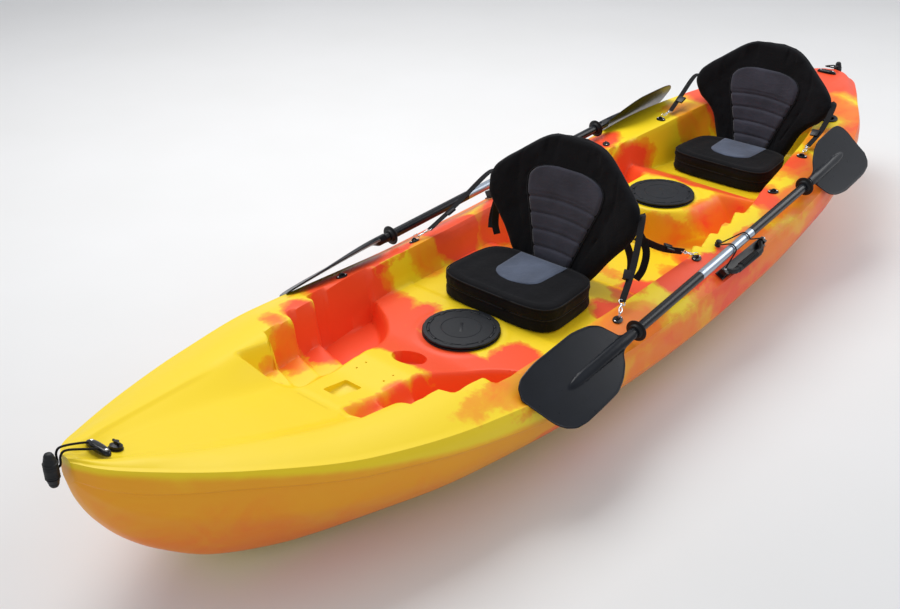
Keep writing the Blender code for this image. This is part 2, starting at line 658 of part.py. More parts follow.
long_edge = curve([(0.000, 0.014), (0.030, 0.016), (0.048, 0.042), (0.072, 0.076), (0.115, 0.096),
                   (0.190, 0.107), (0.320, 0.107), (0.395, 0.098), (0.425, 0.082),
                   (BLADE_LEN, 0.056)])
short_edge = curve([(0.000, 0.014), (0.040, 0.016), (0.062, 0.022), (0.095, 0.051), (0.150, 0.081),
                    (0.195, 0.092), (0.320, 0.095), (0.360, 0.090), (0.387, 0.076),
                    (0.408, 0.050), (0.423, 0.004), (BLADE_LEN, -0.048)])


def make_blade(root, axis, across):
    """Spooned blade with a slanted tip and a rounded rib that carries on from the shaft."""
    normal = axis.cross(across)
    if normal.z < 0:
        normal = -normal
    rings = []
    for s in (0.0, 0.030, 0.048, 0.072, 0.115, 0.165, 0.230, 0.300, 0.360, 0.395, 0.415, 0.428,
              BLADE_LEN):
        one = -float(long_edge(s))
        two = float(short_edge(s))
        t = s / BLADE_LEN
        rib = 0.0142 * (1 - float(ease((s - 0.04) / 0.33)))
        web = float(ease((s - 0.025) / 0.03))
        mid = 0.5 * (one + two) * float(ease((s - 0.30) / 0.12))
        half = min(0.020 * (1 - 0.6 * t), 0.4 * (two - one))
        row = []
        for y, sheet in ((one, 1), (mid - half, 1), (mid, 0), (mid + half, 1), (two, 1)):
            dish = -SPOON * t * t + 0.5 * y * y * web
            over = 0.0018 + (rib if sheet == 0 else rib * (1 - web) * (abs(y) < 0.012))
            row.append((y, dish, over))
        under = 0.0018 + 0.0125 * (1 - web)
        top = [root + axis * s + across * y + normal * (d + o) for y, d, o in row]
        low = [root + axis * s + across * y + normal * (d - under * (0.6 if i in (0, 4) else 1))
               for i, (y, d, o) in enumerate(row)]
        rings.append(top + list(reversed(low)))
    return from_rings(rings)


def make_paddle(label, side):
    fore, aft, axis = paddle_axis(side)
    joint = fore - axis * 0.360
    start = fore + axis * 0.030
    end = aft - axis * 0.030
    fore_len = (start - joint).length
    bore = [(SPIGOT_R + 0.0003, 0.0), (SHAFT_R, 0.0), (SHAFT_R, fore_len), (0.0040, fore_len),
            (0.0040, SPIGOT_LEN + 0.004), (SPIGOT_R + 0.0003, SPIGOT_LEN + 0.004)]
    place(f"{label}_paddle_shaft_fore", turned(bore, joint, axis, 14, solid=False), BLACK, joint)
    tube = [(SPIGOT_R, -FERRULE_LEN - 0.040), (SPIGOT_R, -FERRULE_LEN), (SHAFT_R, -FERRULE_LEN),
            (SHAFT_R, -GAP), (SPIGOT_R, -GAP), (SPIGOT_R, SPIGOT_LEN)]
    place(f"{label}_paddle_ferrule", turned(tube, joint, axis, 14), ALLOY, joint)
    seam = joint - axis * (FERRULE_LEN + GAP)
    aft_len = (seam - end).length
    rear = [(SPIGOT_R + 0.0003, 0.0), (SHAFT_R, 0.0), (SHAFT_R, -aft_len), (0.0040, -aft_len),
            (0.0040, -0.044), (SPIGOT_R + 0.0003, -0.044)]
    place(f"{label}_paddle_shaft_aft", turned(rear, seam, axis, 14, solid=False), BLACK, seam)
    for where, spot in (("fore", fore), ("aft", aft)):
        ring = [(SHAFT_R + GAP, -0.012), (0.0200, -0.012), (0.0205, -0.001), (0.0315, 0.000),
                (0.0315, 0.003), (0.0205, 0.004), (SHAFT_R + GAP, 0.012)]
        place(f"{label}_paddle_ring_{where}", turned(ring, spot, axis, 14, solid=False), RUBBER, spot)
    for where, root, along, roll, face in (("fore", start, axis, BLADE_ROLL[0], 1),
                                           ("aft", end, -axis, BLADE_ROLL[1], -1)):
        level = Vector((0, side, 0))
        level = (level - axis * level.dot(axis)).normalized()
        up = Vector((0, 0, 1))
        up = (up - axis * up.dot(axis)).normalized()
        across = (level * cos(roll) - up * sin(roll)) * face
        root = root + along * GAP
        place(f"{label}_paddle_blade_{where}", make_blade(root, along, across), SLATE, root)


# ---------------------------------------------------------------- side handles and bungees
def make_side_handle(hull, label, side):
    """Carry handle on the gunwale's outer slope: a fixed base strip and a hinged grip."""
    mid_x = 0.5 * (HANDLE_X[0] + HANDLE_X[1])
    point, normal = seat_on(hull, mid_x, side * HANDLE_Y, 0.015)
    fore, _ = seat_on(hull, HANDLE_X[0], side * HANDLE_Y, 0.015)
    rear, _ = seat_on(hull, HANDLE_X[1], side * HANDLE_Y, 0.015)
    along = (fore - rear).normalized()
    normal = (normal - along * normal.dot(along)).normalized()
    out = normal.cross(along)
    seat = normal * HANDLE_SEAT
    length = (fore - rear).length
    pose = Matrix((along, out, normal)).transposed().to_4x4()
    base_at = Matrix.Translation(fore.lerp(rear, 0.5) + seat + normal * 0.0015) @ pose
    base = place(f"{label}_handle_base", boxed((length + 0.050, 0.030, 0.0030), base_at), BLACK, point)
    for end, spot in (("fore", fore), ("aft", rear)):
        shift = along * (0.012 if end == "fore" else -0.012)
        lug_at = Matrix.Translation(spot + shift + seat + normal * 0.0125) @ pose
        lug = cutter_from(boxed((0.012, 0.022, 0.0230), lug_at), f"{label}_handle_{end}_lug")
        lug.hide_render = True
        lug.display_type = "WIRE"
        join = base.modifiers.new("join", "BOOLEAN")
        join.operation = "UNION"
        join.object = lug
    pivot = fore.lerp(rear, 0.5) + seat + normal * 0.0160
    away = out if out.y * side > 0 else -out
    reach = length / 2 + 0.0045
    shape = [(0.0, 0.0, 0.0070), (0.009, 0.0004, 0.0075), (0.020, 0.014, 0.0080),
             (0.034, 0.0205, 0.0090), (0.046, 0.0215, 0.0095), (0.049, 0.0215, 0.0115)]
    half = [(d - reach, o, r) for d, o, r in shape]
    half += [(-d, o, r) for d, o, r in reversed(half)]
    points = [pivot + along * d + away * o for d, o, r in half]
    place(f"{label}_handle_grip", swept(points, [r for d, o, r in half]), RUBBER, pivot)
    return [p + along * d + seat + normal * 0.0270 for p, d in ((fore, 0.012), (rear, -0.012))]


def make_bungee(hull, label, side, lugs):
    """Knob on the gunwale crest, and the elastic loop that holds the paddle's shaft down."""
    point, normal = seat_on(hull, KNOB[0], side * KNOB[1], 0.010)
    knob = [(0.0095, GAP), (0.0060, 0.0040), (0.0055, 0.0120), (0.0100, 0.0150),
            (0.0085, 0.0200)]
    place(f"{label}_bungee_knob", turned(knob, point, normal, 12), BLACK, point)
    fore, _, axis = paddle_axis(side)
    hoop = SHAFT_R + 0.0036
    crossings = []
    for x in (KNOB[0] + 0.045, KNOB[0] - 0.045):
        on_shaft = fore + axis * ((x - fore.x) / axis.x)
        turns = [radians(t) for t in np.linspace(-23, 85, 8)]
        crossings.append([on_shaft + Vector((0, side * hoop * sin(t), hoop * cos(t))) for t in turns])
    stem = point + normal * 0.0080
    outward = Vector((0, side, 0))
    outward = (outward - normal * outward.dot(normal)).normalized()
    loop = []
    for turn in np.linspace(70, 290, 11):
        t = radians(turn)
        loop.append(stem + outward * (0.0088 * cos(t)) + Vector((0.0088 * sin(t), 0, 0)))
    route = [lugs[0], *reversed(crossings[0]), *loop, *crossings[1], lugs[1]]
    cord(f"{label}_bungee", route, 0.0022, STRAP, point)


# ---------------------------------------------------------------- build
def main():
    for obj in list(bpy.data.objects):
        bpy.data.objects.remove(obj, do_unlink=True)
    hull = make_hull()
    make_hatch("front", FRONT_HATCH)
    make_hatch("middle", MIDDLE_HATCH)
    make_drain(hull)
    make_end_handle(hull, "bow_handle", BOW_BRACKET_X, 1)
    make_end_handle(hull, "stern_handle", STERN_BRACKET_X, -1)
    for side, label in ((1, "port"), (-1, "starboard")):
        for i, (x, y) in enumerate(PAD_EYES):
            make_pad_eye(hull, f"{label}_pad_eye_{i + 1}", x, side * y)
        make_stern_eye(hull, f"{label}_stern_eye", side)
        make_rod_holder(hull, f"{label}_rod_holder", side)
        make_paddle(label, side)
        lugs = make_side_handle(hull, label, side)
        make_bungee(hull, label, side, lugs)
    for name, sizes in SEATS.items():
        make_seat(name, *sizes)
    make_bag("front_seat", SEATS["front"][0])
    make_straps(hull, "front_seat", SEATS["front"][0], PAD_EYES[1], PAD_EYES[2])
    make_straps(hull, "rear_seat", SEATS["rear"][0], PAD_EYES[4], STERN_EYE)


main()
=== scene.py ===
"""Looks of the tandem sit-on-top kayak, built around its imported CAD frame."""
import json
from functools import partial
from math import cos, hypot, pi, radians, sin, sqrt
import bmesh
import bpy
import numpy as np
from mathutils import Matrix, Vector, noise
from mathutils.bvhtree import BVHTree

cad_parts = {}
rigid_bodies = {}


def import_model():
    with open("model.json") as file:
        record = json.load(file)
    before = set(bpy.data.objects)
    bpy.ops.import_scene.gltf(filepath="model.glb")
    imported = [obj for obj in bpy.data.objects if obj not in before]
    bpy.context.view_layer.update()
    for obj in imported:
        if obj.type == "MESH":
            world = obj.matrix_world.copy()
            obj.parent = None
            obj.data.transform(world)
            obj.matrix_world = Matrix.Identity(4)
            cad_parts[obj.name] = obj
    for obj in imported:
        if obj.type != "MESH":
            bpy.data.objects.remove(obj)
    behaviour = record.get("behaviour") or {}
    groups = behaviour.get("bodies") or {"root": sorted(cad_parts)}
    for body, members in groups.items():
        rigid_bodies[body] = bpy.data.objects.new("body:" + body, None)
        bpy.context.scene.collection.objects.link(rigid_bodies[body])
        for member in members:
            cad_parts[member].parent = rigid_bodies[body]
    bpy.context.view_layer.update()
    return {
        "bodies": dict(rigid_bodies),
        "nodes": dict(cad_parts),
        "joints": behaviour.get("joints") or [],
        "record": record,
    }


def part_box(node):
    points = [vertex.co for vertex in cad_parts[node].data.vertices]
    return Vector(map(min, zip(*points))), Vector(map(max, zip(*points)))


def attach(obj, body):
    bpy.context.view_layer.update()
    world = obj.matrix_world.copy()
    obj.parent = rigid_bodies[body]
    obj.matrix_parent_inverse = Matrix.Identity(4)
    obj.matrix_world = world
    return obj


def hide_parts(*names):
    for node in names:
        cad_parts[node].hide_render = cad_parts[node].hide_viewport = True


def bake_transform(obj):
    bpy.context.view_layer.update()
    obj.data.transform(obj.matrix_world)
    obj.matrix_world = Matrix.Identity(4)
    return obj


SIDES = ((1, "port"), (-1, "starboard"))
UP = Vector((0, 0, 1))

# ---------------------------------------------------------------- dimensions shared with the CAD
HULL_END = 1.85
TIP_LEN = 0.05
EDGE_INSET = 0.022
CREST_STEP = 0.038
WALL_RUN = 0.034
FRONT_HATCH = (0.587, 0.0, 0.213)
MIDDLE_HATCH = (-0.490, 0.0, 0.281)
HATCH_HOLE_R = 0.0875
CUP = (0.805, 0.048, 0.050)             # x, radius, depth
TRAY = (1.066, 0.084, 0.060, 0.018)     # x, length, width, depth
PAN_Z = 0.208
RIDGE_SKEW = 0.30
RIDGES = (1.100, 0.985, 0.868)
POCKET_Z = (0.262, 0.232, 0.200, 0.150)
REAR_TEETH = (-0.160, -0.270, -0.360, -0.450)
# x and distance from the centre plane of what stands on both sides
PAD_EYES = ((0.698, 0.370), (0.365, 0.382), (-0.093, 0.366), (-0.646, 0.337), (-0.950, 0.291))
STERN_EYE = (-1.364, 0.194)
ROD_HOLDER = (-1.290, 0.230)
DRAIN_X = 1.733
BACK_FOOT_Z = 0.232
RECLINE = radians(15)
BACK_THICK = 0.042
BACK_WRAP = 0.45
BAG = (0.175, 0.365, 0.150, 0.088)      # foot, top, half width, depth
# x of the backrest's foot, then the cushion's length, front width and rear width
SEATS = {"front": (0.165, 0.285, 0.430, 0.400), "rear": (-1.125, 0.255, 0.400, 0.360)}
CUSHION_HEIGHT = 0.086
STRAP_THICK = 0.0018
EYE_REACH = 0.014
RIM_THICK = 0.0045
SEAL_THICK = 0.0028
LID_THICK = 0.0055
GAP = 0.0004
SHAFT_R = 0.0150
SHAFT_BORE = 0.0127
SHAFT_FORE = Vector((0.390, 0.460, 0.305))
SHAFT_AFT = Vector((-0.700, 0.421, 0.364))
FERRULE_LEN = 0.330
JOINT_BACK = 0.360
ROOT_OUT = 0.030
BLADE_LEN = 0.440
BLADE_ROLL = {"fore": radians(36), "aft": radians(50)}
HALF_SHEET = 0.0017
SPOON = 0.012
HANDLE_X = (-0.115, -0.335)
HANDLE_Y = 0.447
BASE_THICK = 0.0035
GRIP_UP = 0.0160
GRIP_OUT = 0.0215
LUG_UP = 0.0270
KNOB = (-0.211, 0.372)
KNOB_LOOP_R = 0.0088
CROSSING_OFF = 0.045


# ---------------------------------------------------------------- hull lines
def curve(knots):
    """A smooth curve through (x, value) knots that never overshoots them."""
    xs = np.array([k[0] for k in knots])
    ys = np.array([k[1] for k in knots])
    run = np.diff(xs)
    rate = np.diff(ys) / run
    slope = np.zeros(len(xs))
    slope[0] = rate[0]
    slope[-1] = rate[-1]
    for i in range(1, len(xs) - 1):
        a = rate[i - 1]
        b = rate[i]
        slope[i] = 2 * a * b / (a + b) if a * b > 0 else 0.0

    def value(x):
        x = np.clip(x, xs[0], xs[-1])
        i = np.clip(np.searchsorted(xs, x) - 1, 0, len(xs) - 2)
        t = (x - xs[i]) / run[i]
        rise = ys[i] * (1 - t) ** 2 * (1 + 2 * t) + ys[i + 1] * t * t * (3 - 2 * t)
        return rise + run[i] * t * (1 - t) * (slope[i] * (1 - t) - slope[i + 1] * t)
    return value


half_beam = curve([(-1.85, 0.030), (-1.84, 0.075), (-1.80, 0.115), (-1.70, 0.168), (-1.60, 0.214),
                   (-1.30, 0.352), (-0.90, 0.446), (-0.40, 0.474), (0.10, 0.478), (0.60, 0.470),
                   (1.00, 0.435), (1.30, 0.358), (1.55, 0.245), (1.75, 0.124), (1.82, 0.070),
                   (1.85, 0.022)])
edge_z = curve([(-1.85, 0.385), (-1.60, 0.400), (-1.30, 0.380), (-0.95, 0.345), (-0.65, 0.312),
                (-0.40, 0.288), (0.00, 0.264), (0.36, 0.262), (0.60, 0.272), (0.80, 0.288),
                (1.00, 0.309), (1.30, 0.342), (1.55, 0.392), (1.75, 0.445), (1.85, 0.478)])
crest_z = curve([(-1.85, 0.400), (-1.60, 0.416), (-1.30, 0.395), (-0.95, 0.360), (-0.65, 0.338),
                 (-0.30, 0.318), (0.00, 0.312), (0.36, 0.308), (0.70, 0.316), (1.00, 0.334),
                 (1.30, 0.359), (1.55, 0.403), (1.75, 0.452), (1.85, 0.483)])
band = curve([(-1.85, 0.055), (-1.30, 0.053), (-0.90, 0.060), (-0.40, 0.088), (0.10, 0.098),
              (0.60, 0.084), (1.00, 0.058), (1.30, 0.044), (1.55, 0.043), (1.75, 0.055),
              (1.85, 0.046)])
keel_z = curve([(-1.85, 0.320), (-1.82, 0.235), (-1.76, 0.155), (-1.66, 0.083), (-1.50, 0.030),
                (-1.30, 0.005), (-1.15, 0.0), (1.10, 0.0), (1.25, 0.004), (1.40, 0.020),
                (1.50, 0.045), (1.60, 0.083), (1.70, 0.155), (1.747, 0.202), (1.79, 0.258),
                (1.824, 0.320), (1.843, 0.375), (1.85, 0.412)])
deck_centre = curve([(-1.85, 0.402), (-1.70, 0.408), (-1.50, 0.393), (-1.36, 0.374), (-1.20, 0.36),
                     (1.10, 0.262), (1.235, 0.290), (1.40, 0.340), (1.60, 0.400), (1.75, 0.441),
                     (1.82, 0.462), (1.85, 0.470)])
inner_smooth = curve([(-1.45, 0.150), (-1.25, 0.200), (-1.10, 0.235), (-0.95, 0.257),
                      (-0.80, 0.280), (-0.65, 0.300), (-0.50, 0.328), (-0.10, 0.345),
                      (0.50, 0.345), (0.70, 0.350), (0.87, 0.345), (1.00, 0.300), (1.12, 0.255),
                      (1.235, 0.228)])
console_z = curve([(0.45, PAN_Z), (0.47, 0.213), (0.72, 0.213), (0.84, 0.238), (0.90, 0.250),
                   (1.00, 0.250), (1.10, 0.262), (1.235, 0.288)])
console_half = curve([(0.58, 0.420), (0.63, 0.290), (0.68, 0.205), (0.73, 0.155), (0.80, 0.115),
                      (0.87, 0.095), (1.00, 0.083), (1.15, 0.068), (1.235, 0.062)])
rear_floor = curve([(-0.80, 0.208), (-0.62, 0.180), (-0.45, 0.160), (0.08, 0.165)])
plateau_z = curve([(-0.84, PAN_Z), (-0.78, 0.228), (-0.70, 0.260), (-0.62, 0.281), (0.0, 0.281)])


def ease(t):
    """Smooth 0 to 1 step."""
    t = np.clip(t, 0.0, 1.0)
    return t * t * (3 - 2 * t)


def outer_edge(x):
    """Half width of the deck at the gunwale's outer top edge."""
    w = half_beam(x)
    return w - EDGE_INSET * np.minimum(1.0, w / 0.06)


def inner_edge(x):
    """Half width of the cockpit at the gunwale, with its stepped foot braces."""
    steps = 0.228
    for ridge, widen in zip(RIDGES, (0.040, 0.039, 0.045)):
        steps = steps + widen * ease((ridge + 0.008 - x) / 0.016)
    edge = np.where(x > 0.80, np.minimum(steps, 0.350), inner_smooth(x))
    lead = REAR_TEETH[0] + 0.06
    for tooth in REAR_TEETH:
        ramp = np.clip((lead - x) / (lead - tooth), 0, 1)
        edge = edge - 0.026 * ramp * ease((x - tooth + 0.006) / 0.012)
        lead = tooth
    return edge


def foot_floor(x, a):
    """Front footwell floor: stepped pockets that go down towards the stern."""
    s = x - RIDGE_SKEW * np.clip(inner_smooth(x) - a, 0, 0.2)
    level = POCKET_Z[0]
    for ridge, above, below in zip(RIDGES, POCKET_Z, POCKET_Z[1:]):
        level = level + (below - above - 0.008) * ease((ridge - s) / 0.022)
        level = level + 0.008 * ease((ridge - 0.022 - s) / 0.085)
    return level


def cockpit_floor(x, a):
    """Everything inside the cockpit walls: floors, consoles and seat pans."""
    c1 = ease((console_half(x) + 0.040 - a) / 0.040)
    fore = foot_floor(x, a)
    fore = fore + (console_z(x) - fore) * c1
    ahead = x > MIDDLE_HATCH[0]
    q = np.where(ahead, np.hypot(x - MIDDLE_HATCH[0], a), a)
    width = 0.045 + 0.060 * ease((-0.34 - x) / 0.12)
    reach = 0.135 + 1.25 * np.maximum(0.0, -0.62 - x)
    c2 = ease((reach + width - q) / width)
    aft = rear_floor(x) + (plateau_z(x) - rear_floor(x)) * c2
    return aft + (fore - aft) * ease((x + 0.02) / 0.10)


def deck_height(x, a):
    """Height of the hull's upper surface at distance a from the centre plane."""
    edge = outer_edge(x)
    crest = np.minimum(inner_smooth(x) + CREST_STEP, 0.74 * edge)
    out = np.clip((a - crest) / (edge - crest), 0, 1)
    crown = crest_z(x) + (edge_z(x) - crest_z(x)) * out ** 1.6
    lid = deck_centre(x) + (crest_z(x) - deck_centre(x)) * ease((a / crest - 0.35) / 0.55)
    cap = np.where(a > crest, crown, lid)
    front = 1.165 + 0.07 * np.clip((a - 0.07) / 0.16, 0, 1)
    well = ease((inner_edge(x) - a) / WALL_RUN)
    well = well * ease((front - x) / 0.030) * ease((x + 1.37) / 0.09)
    return cap * (1 - well) + cockpit_floor(x, a) * well


# ---------------------------------------------------------------- materials
class Shader:
    """A material and the nodes that feed its Principled BSDF."""

    def __init__(self, name, color, rough, metal=0.0):
        self.mat = bpy.data.materials.new(name)
        self.mat.use_nodes = True
        self.tree = self.mat.node_tree
        self.bsdf = self.tree.nodes["Principled BSDF"]
        self.feed(self.bsdf, {"Base Color": (*color, 1), "Roughness": rough, "Metallic": metal})
        self.coords = self.node("ShaderNodeTexCoord").outputs["Object"]

    def feed(self, node, inputs):
        """Sets a node's inputs: a socket is linked, and anything else is a value."""
        for key, value in inputs.items():
            if isinstance(value, bpy.types.NodeSocket):
                self.tree.links.new(value, node.inputs[key])
            else:
                node.inputs[key].default_value = value

    def node(self, kind, inputs=None, **settings):
        made = self.tree.nodes.new(kind)
        for key, value in settings.items():
            setattr(made, key, value)
        self.feed(made, inputs or {})
        return made

    def math(self, operation, a, b=0.0, clamp=False):
        made = self.node("ShaderNodeMath", {0: a, 1: b}, operation=operation, use_clamp=clamp)
        return made.outputs[0]

    def vector(self, operation, a, b=(0, 0, 0)):
        made = self.node("ShaderNodeVectorMath", {0: a, 1: b}, operation=operation)
        return made.outputs["Value" if operation == "LENGTH" else "Vector"]

    def remap(self, value, low, high, floor=0.0, top=1.0, kind="SMOOTHSTEP"):
        spans = {"Value": value, "From Min": low, "From Max": high, "To Min": floor, "To Max": top}
        return self.node("ShaderNodeMapRange", spans, interpolation_type=kind).outputs[0]

    def noise(self, scale, detail=3.0, rough=0.5, distort=0.0, stretch=(1, 1, 1), shift=(0, 0, 0), out="Fac"):
        place = self.node("ShaderNodeMapping", {"Vector": self.coords, "Scale": stretch, "Location": shift})
        made = self.node("ShaderNodeTexNoise", {"Vector": place.outputs[0], "Scale": scale, "Detail": detail,
                                                "Roughness": rough, "Distortion": distort})
        return made.outputs[out]

    def ramp(self, value, stops, mode="LINEAR"):
        made = self.node("ShaderNodeValToRGB", {0: value})
        made.color_ramp.interpolation = mode
        while len(made.color_ramp.elements) < len(stops):
            made.color_ramp.elements.new(0.5)
        for element, (spot, color) in zip(made.color_ramp.elements, stops):
            element.position = spot
            element.color = (*color, 1)
        return made.outputs[0]

    def bump(self, height, strength, distance):
        made = self.node("ShaderNodeBump", {"Height": height, "Strength": strength, "Distance": distance})
        normal = self.bsdf.inputs["Normal"]
        if normal.is_linked:
            self.feed(made, {"Normal": normal.links[0].from_socket})
        self.feed(self.bsdf, {"Normal": made.outputs[0]})

    def tint(self, value, color, dark, light):
        """Base colour that runs from dark times the colour to light times the colour."""
        ends = [(spot, [min(1.0, gain * c) for c in color]) for spot, gain in ((0.3, dark), (0.7, light))]
        self.feed(self.bsdf, {"Base Color": self.ramp(value, ends)})

    def vary_rough(self, value, low, high):
        self.feed(self.bsdf, {"Roughness": self.remap(value, 0.0, 1.0, low, high, "LINEAR")})


YELLOW = (0.940, 0.690, 0.016)
AMBER = (0.900, 0.385, 0.012)
ORANGE = (0.930, 0.215, 0.016)
CORAL = (0.940, 0.088, 0.024)
# patches of the second colour in the moulding: x, y, z, size along x, y, z, strength
PATCHES = [
    (1.12, -0.25, 0.22, 0.050, 0.08, 0.08, 0.46), (1.02, -0.27, 0.24, 0.055, 0.10, 0.11, 0.60),
    (0.92, -0.26, 0.24, 0.055, 0.12, 0.13, 0.86), (0.80, -0.22, 0.18, 0.095, 0.14, 0.18, 1.00),
    (0.70, -0.30, 0.24, 0.150, 0.13, 0.16, 1.00), (0.74, -0.06, 0.21, 0.085, 0.17, 0.08, 0.98),
    (0.77, 0.06, 0.21, 0.085, 0.12, 0.07, 0.98), (0.62, -0.16, 0.20, 0.10, 0.08, 0.06, 0.80),
    (1.08, 0.15, 0.19, 0.070, 0.10, 0.10, 0.56), (0.98, 0.16, 0.18, 0.070, 0.10, 0.12, 0.62),
    (0.88, 0.18, 0.17, 0.070, 0.10, 0.12, 0.84), (0.77, 0.19, 0.18, 0.100, 0.12, 0.12, 1.00),
    (0.62, 0.22, 0.19, 0.100, 0.09, 0.08, 0.96), (0.70, 0.38, 0.30, 0.36, 0.070, 0.06, 0.47),
    (0.45, 0.42, 0.28, 0.22, 0.09, 0.09, 0.50), (0.55, -0.40, 0.31, 0.28, 0.05, 0.06, 0.86),
    (0.36, -0.38, 0.27, 0.10, 0.10, 0.14, 0.40), (0.22, -0.36, 0.27, 0.10, 0.10, 0.14, 0.96),
    (0.20, 0.29, 0.22, 0.060, 0.09, 0.10, 0.95), (0.08, 0.26, 0.22, 0.060, 0.08, 0.10, 0.60),
    (0.02, 0.38, 0.30, 0.110, 0.08, 0.07, 0.98), (-0.05, 0.24, 0.22, 0.080, 0.10, 0.10, 0.90),
    (-0.10, 0.05, 0.24, 0.080, 0.14, 0.10, 0.60), (-0.12, -0.30, 0.28, 0.26, 0.12, 0.14, 0.96),
    (-0.22, 0.24, 0.22, 0.070, 0.10, 0.10, 0.54), (-0.34, 0.26, 0.22, 0.050, 0.10, 0.12, 0.64),
    (-0.46, 0.28, 0.24, 0.050, 0.08, 0.10, 0.54), (-0.42, -0.34, 0.30, 0.12, 0.10, 0.12, 0.90),
    (-0.30, 0.44, 0.30, 0.16, 0.05, 0.08, 0.62), (-0.60, 0.30, 0.28, 0.09, 0.12, 0.10, 0.78),
    (-0.42, 0.10, 0.22, 0.16, 0.10, 0.06, 0.44), (-0.16, 0.42, 0.28, 0.12, 0.07, 0.08, 0.90),
    (-0.70, 0.02, 0.26, 0.07, 0.26, 0.06, 0.70), (-0.72, -0.20, 0.26, 0.13, 0.16, 0.10, 0.84),
    (-0.86, 0.30, 0.28, 0.16, 0.10, 0.10, 0.68), (-0.62, -0.38, 0.33, 0.16, 0.07, 0.08, 0.90),
    (-0.80, 0.40, 0.32, 0.34, 0.07, 0.09, 0.54), (-0.98, 0.24, 0.26, 0.08, 0.06, 0.08, 0.88),
    (-1.14, 0.30, 0.34, 0.12, 0.08, 0.08, 0.46), (-1.10, -0.26, 0.32, 0.10, 0.12, 0.12, 0.40),
    (-1.30, -0.24, 0.36, 0.12, 0.14, 0.12, 0.84), (-1.42, 0.10, 0.38, 0.12, 0.30, 0.10, 0.60),
    (-1.68, 0.00, 0.40, 0.20, 0.26, 0.16, 0.92), (-1.30, 0.36, 0.28, 0.22, 0.10, 0.14, 0.60),
    (-0.14, 0.47, 0.22, 0.22, 0.06, 0.10, 0.66), (-0.45, 0.47, 0.18, 0.34, 0.07, 0.13, 0.58),
    (0.26, 0.47, 0.14, 0.26, 0.09, 0.12, 0.50), (0.62, 0.45, 0.12, 0.20, 0.10, 0.07, 0.66),
    (-0.90, 0.44, 0.22, 0.30, 0.10, 0.14, 0.64), (-1.20, 0.38, 0.20, 0.24, 0.12, 0.14, 0.56),
    (-0.56, 0.21, 0.26, 0.13, 0.11, 0.10, 0.62), (-0.2, -0.47, 0.16, 1.10, 0.12, 0.16, 0.58),
    (0.95, -0.42, 0.12, 0.24, 0.10, 0.10, 0.62),
    (-0.30, 0.0, 0.02, 1.30, 0.42, 0.07, 0.45),
]

WARP = 0.19                   # how far noise moves the patches' outlines
PATCH_FADE = (1.34, 0.70)     # a patch starts and is full at these shares of its size
SHADE_TURN = (0.15, 0.65)     # outward lean of the surface where the painted shade on the hull's sides starts and is full
END_X = 1.42                  # beyond it the bow and stern faces get that painted shade too
# height of the parting line: PARTING_LOW + PARTING_RISE * x * x; below it the painted shade on the sides
# grows stronger, and that darker colour is partly the plastic's own
PARTING_RISE = 0.083
PARTING_LOW = 0.165


def hull_plastic():
    """Rotomoulded polyethylene: two colours run into each other, with a faint grain. The outward-facing sides
    and the bow and stern faces are painted towards AMBER as painted shade, deeper below the parting line,
    where the darker colour is partly the plastic's own and partly painted shade.
    """
    sh = Shader("hull_plastic", YELLOW, 0.36)
    operations = ("ADD", "SUBTRACT", "MULTIPLY", "MAXIMUM", "SIGN")
    plus, minus, times, larger, sign = (partial(sh.math, operation) for operation in operations)
    drift = sh.vector("SUBTRACT", sh.noise(3.4, 6.0, 0.66, out="Color"), (0.5, 0.5, 0.5))
    moved = sh.vector("ADD", sh.coords, sh.vector("MULTIPLY", drift, (WARP, WARP, WARP)))
    total = 0.0
    for x, y, z, rx, ry, rz, strength in PATCHES:
        off = sh.vector("DIVIDE", sh.vector("SUBTRACT", moved, (x, y, z)), (rx, ry, rz))
        total = larger(sh.remap(sh.vector("LENGTH", off), *PATCH_FADE, top=strength), total)
    streak = times(minus(sh.noise(7.0, 4.0, 0.6, 0.8, (0.8, 1.4, 1.2), (3, 1, 2)), 0.5), 0.55)
    broad = times(minus(sh.noise(2.1, 2.0, 0.5), 0.45), 0.35)
    field = plus(plus(total, times(streak, plus(total, 0.35))), broad, clamp=True)
    surface = sh.node("ShaderNodeNewGeometry")
    facing = sh.node("ShaderNodeSeparateXYZ", {0: surface.outputs["Normal"]}).outputs
    where = sh.node("ShaderNodeSeparateXYZ", {0: sh.coords}).outputs
    ends = sh.math("GREATER_THAN", sh.math("ABSOLUTE", where["X"]), END_X)
    outward = larger(times(facing["Y"], sign(where["Y"])), times(times(facing["X"], sign(where["X"])), ends))
    parting = plus(times(sh.math("POWER", where["X"], 2.0), PARTING_RISE), PARTING_LOW)
    under = minus(parting, where["Z"])
    # painted shade: surfaces that face outward from the centre plane, or out of the bow and stern, turn
    # towards AMBER, more so below the parting line
    flank_shade = times(sh.remap(outward, *SHADE_TURN), plus(times(sh.remap(under, -0.030, 0.004), 0.66), 0.34))
    # strength of that painted shade: streaked, and larger below the parting line, where it is partly the
    # plastic's own colour
    shade_strength = plus(times(streak, 0.35), plus(times(larger(under, 0.0), 0.7), 0.35))
    field = larger(field, times(flank_shade, shade_strength))
    color = sh.ramp(field, [(0.16, YELLOW), (0.36, AMBER), (0.56, ORANGE), (0.74, CORAL)], "EASE")
    sh.feed(sh.bsdf, {"Base Color": color, "Specular IOR Level": 0.32})
    sh.vary_rough(sh.noise(38.0, 4.0), 0.33, 0.46)
    sh.bump(sh.noise(520.0, 2.0), 0.10, 0.0006)
    sh.bump(sh.noise(9.0, 3.0), 0.16, 0.004)
    return sh.mat


def plastic(name, color, rough, grain=420.0, gloss=0.36, relief=0.22):
    sh = Shader(name, color, rough)
    sh.feed(sh.bsdf, {"Specular IOR Level": gloss})
    sh.tint(sh.noise(14.0, 4.0), color, 0.86, 1.18)
    sh.vary_rough(sh.noise(60.0, 4.0), rough - 0.07, rough + 0.08)
    sh.bump(sh.noise(grain, 3.0), relief, 0.0005)
    return sh.mat


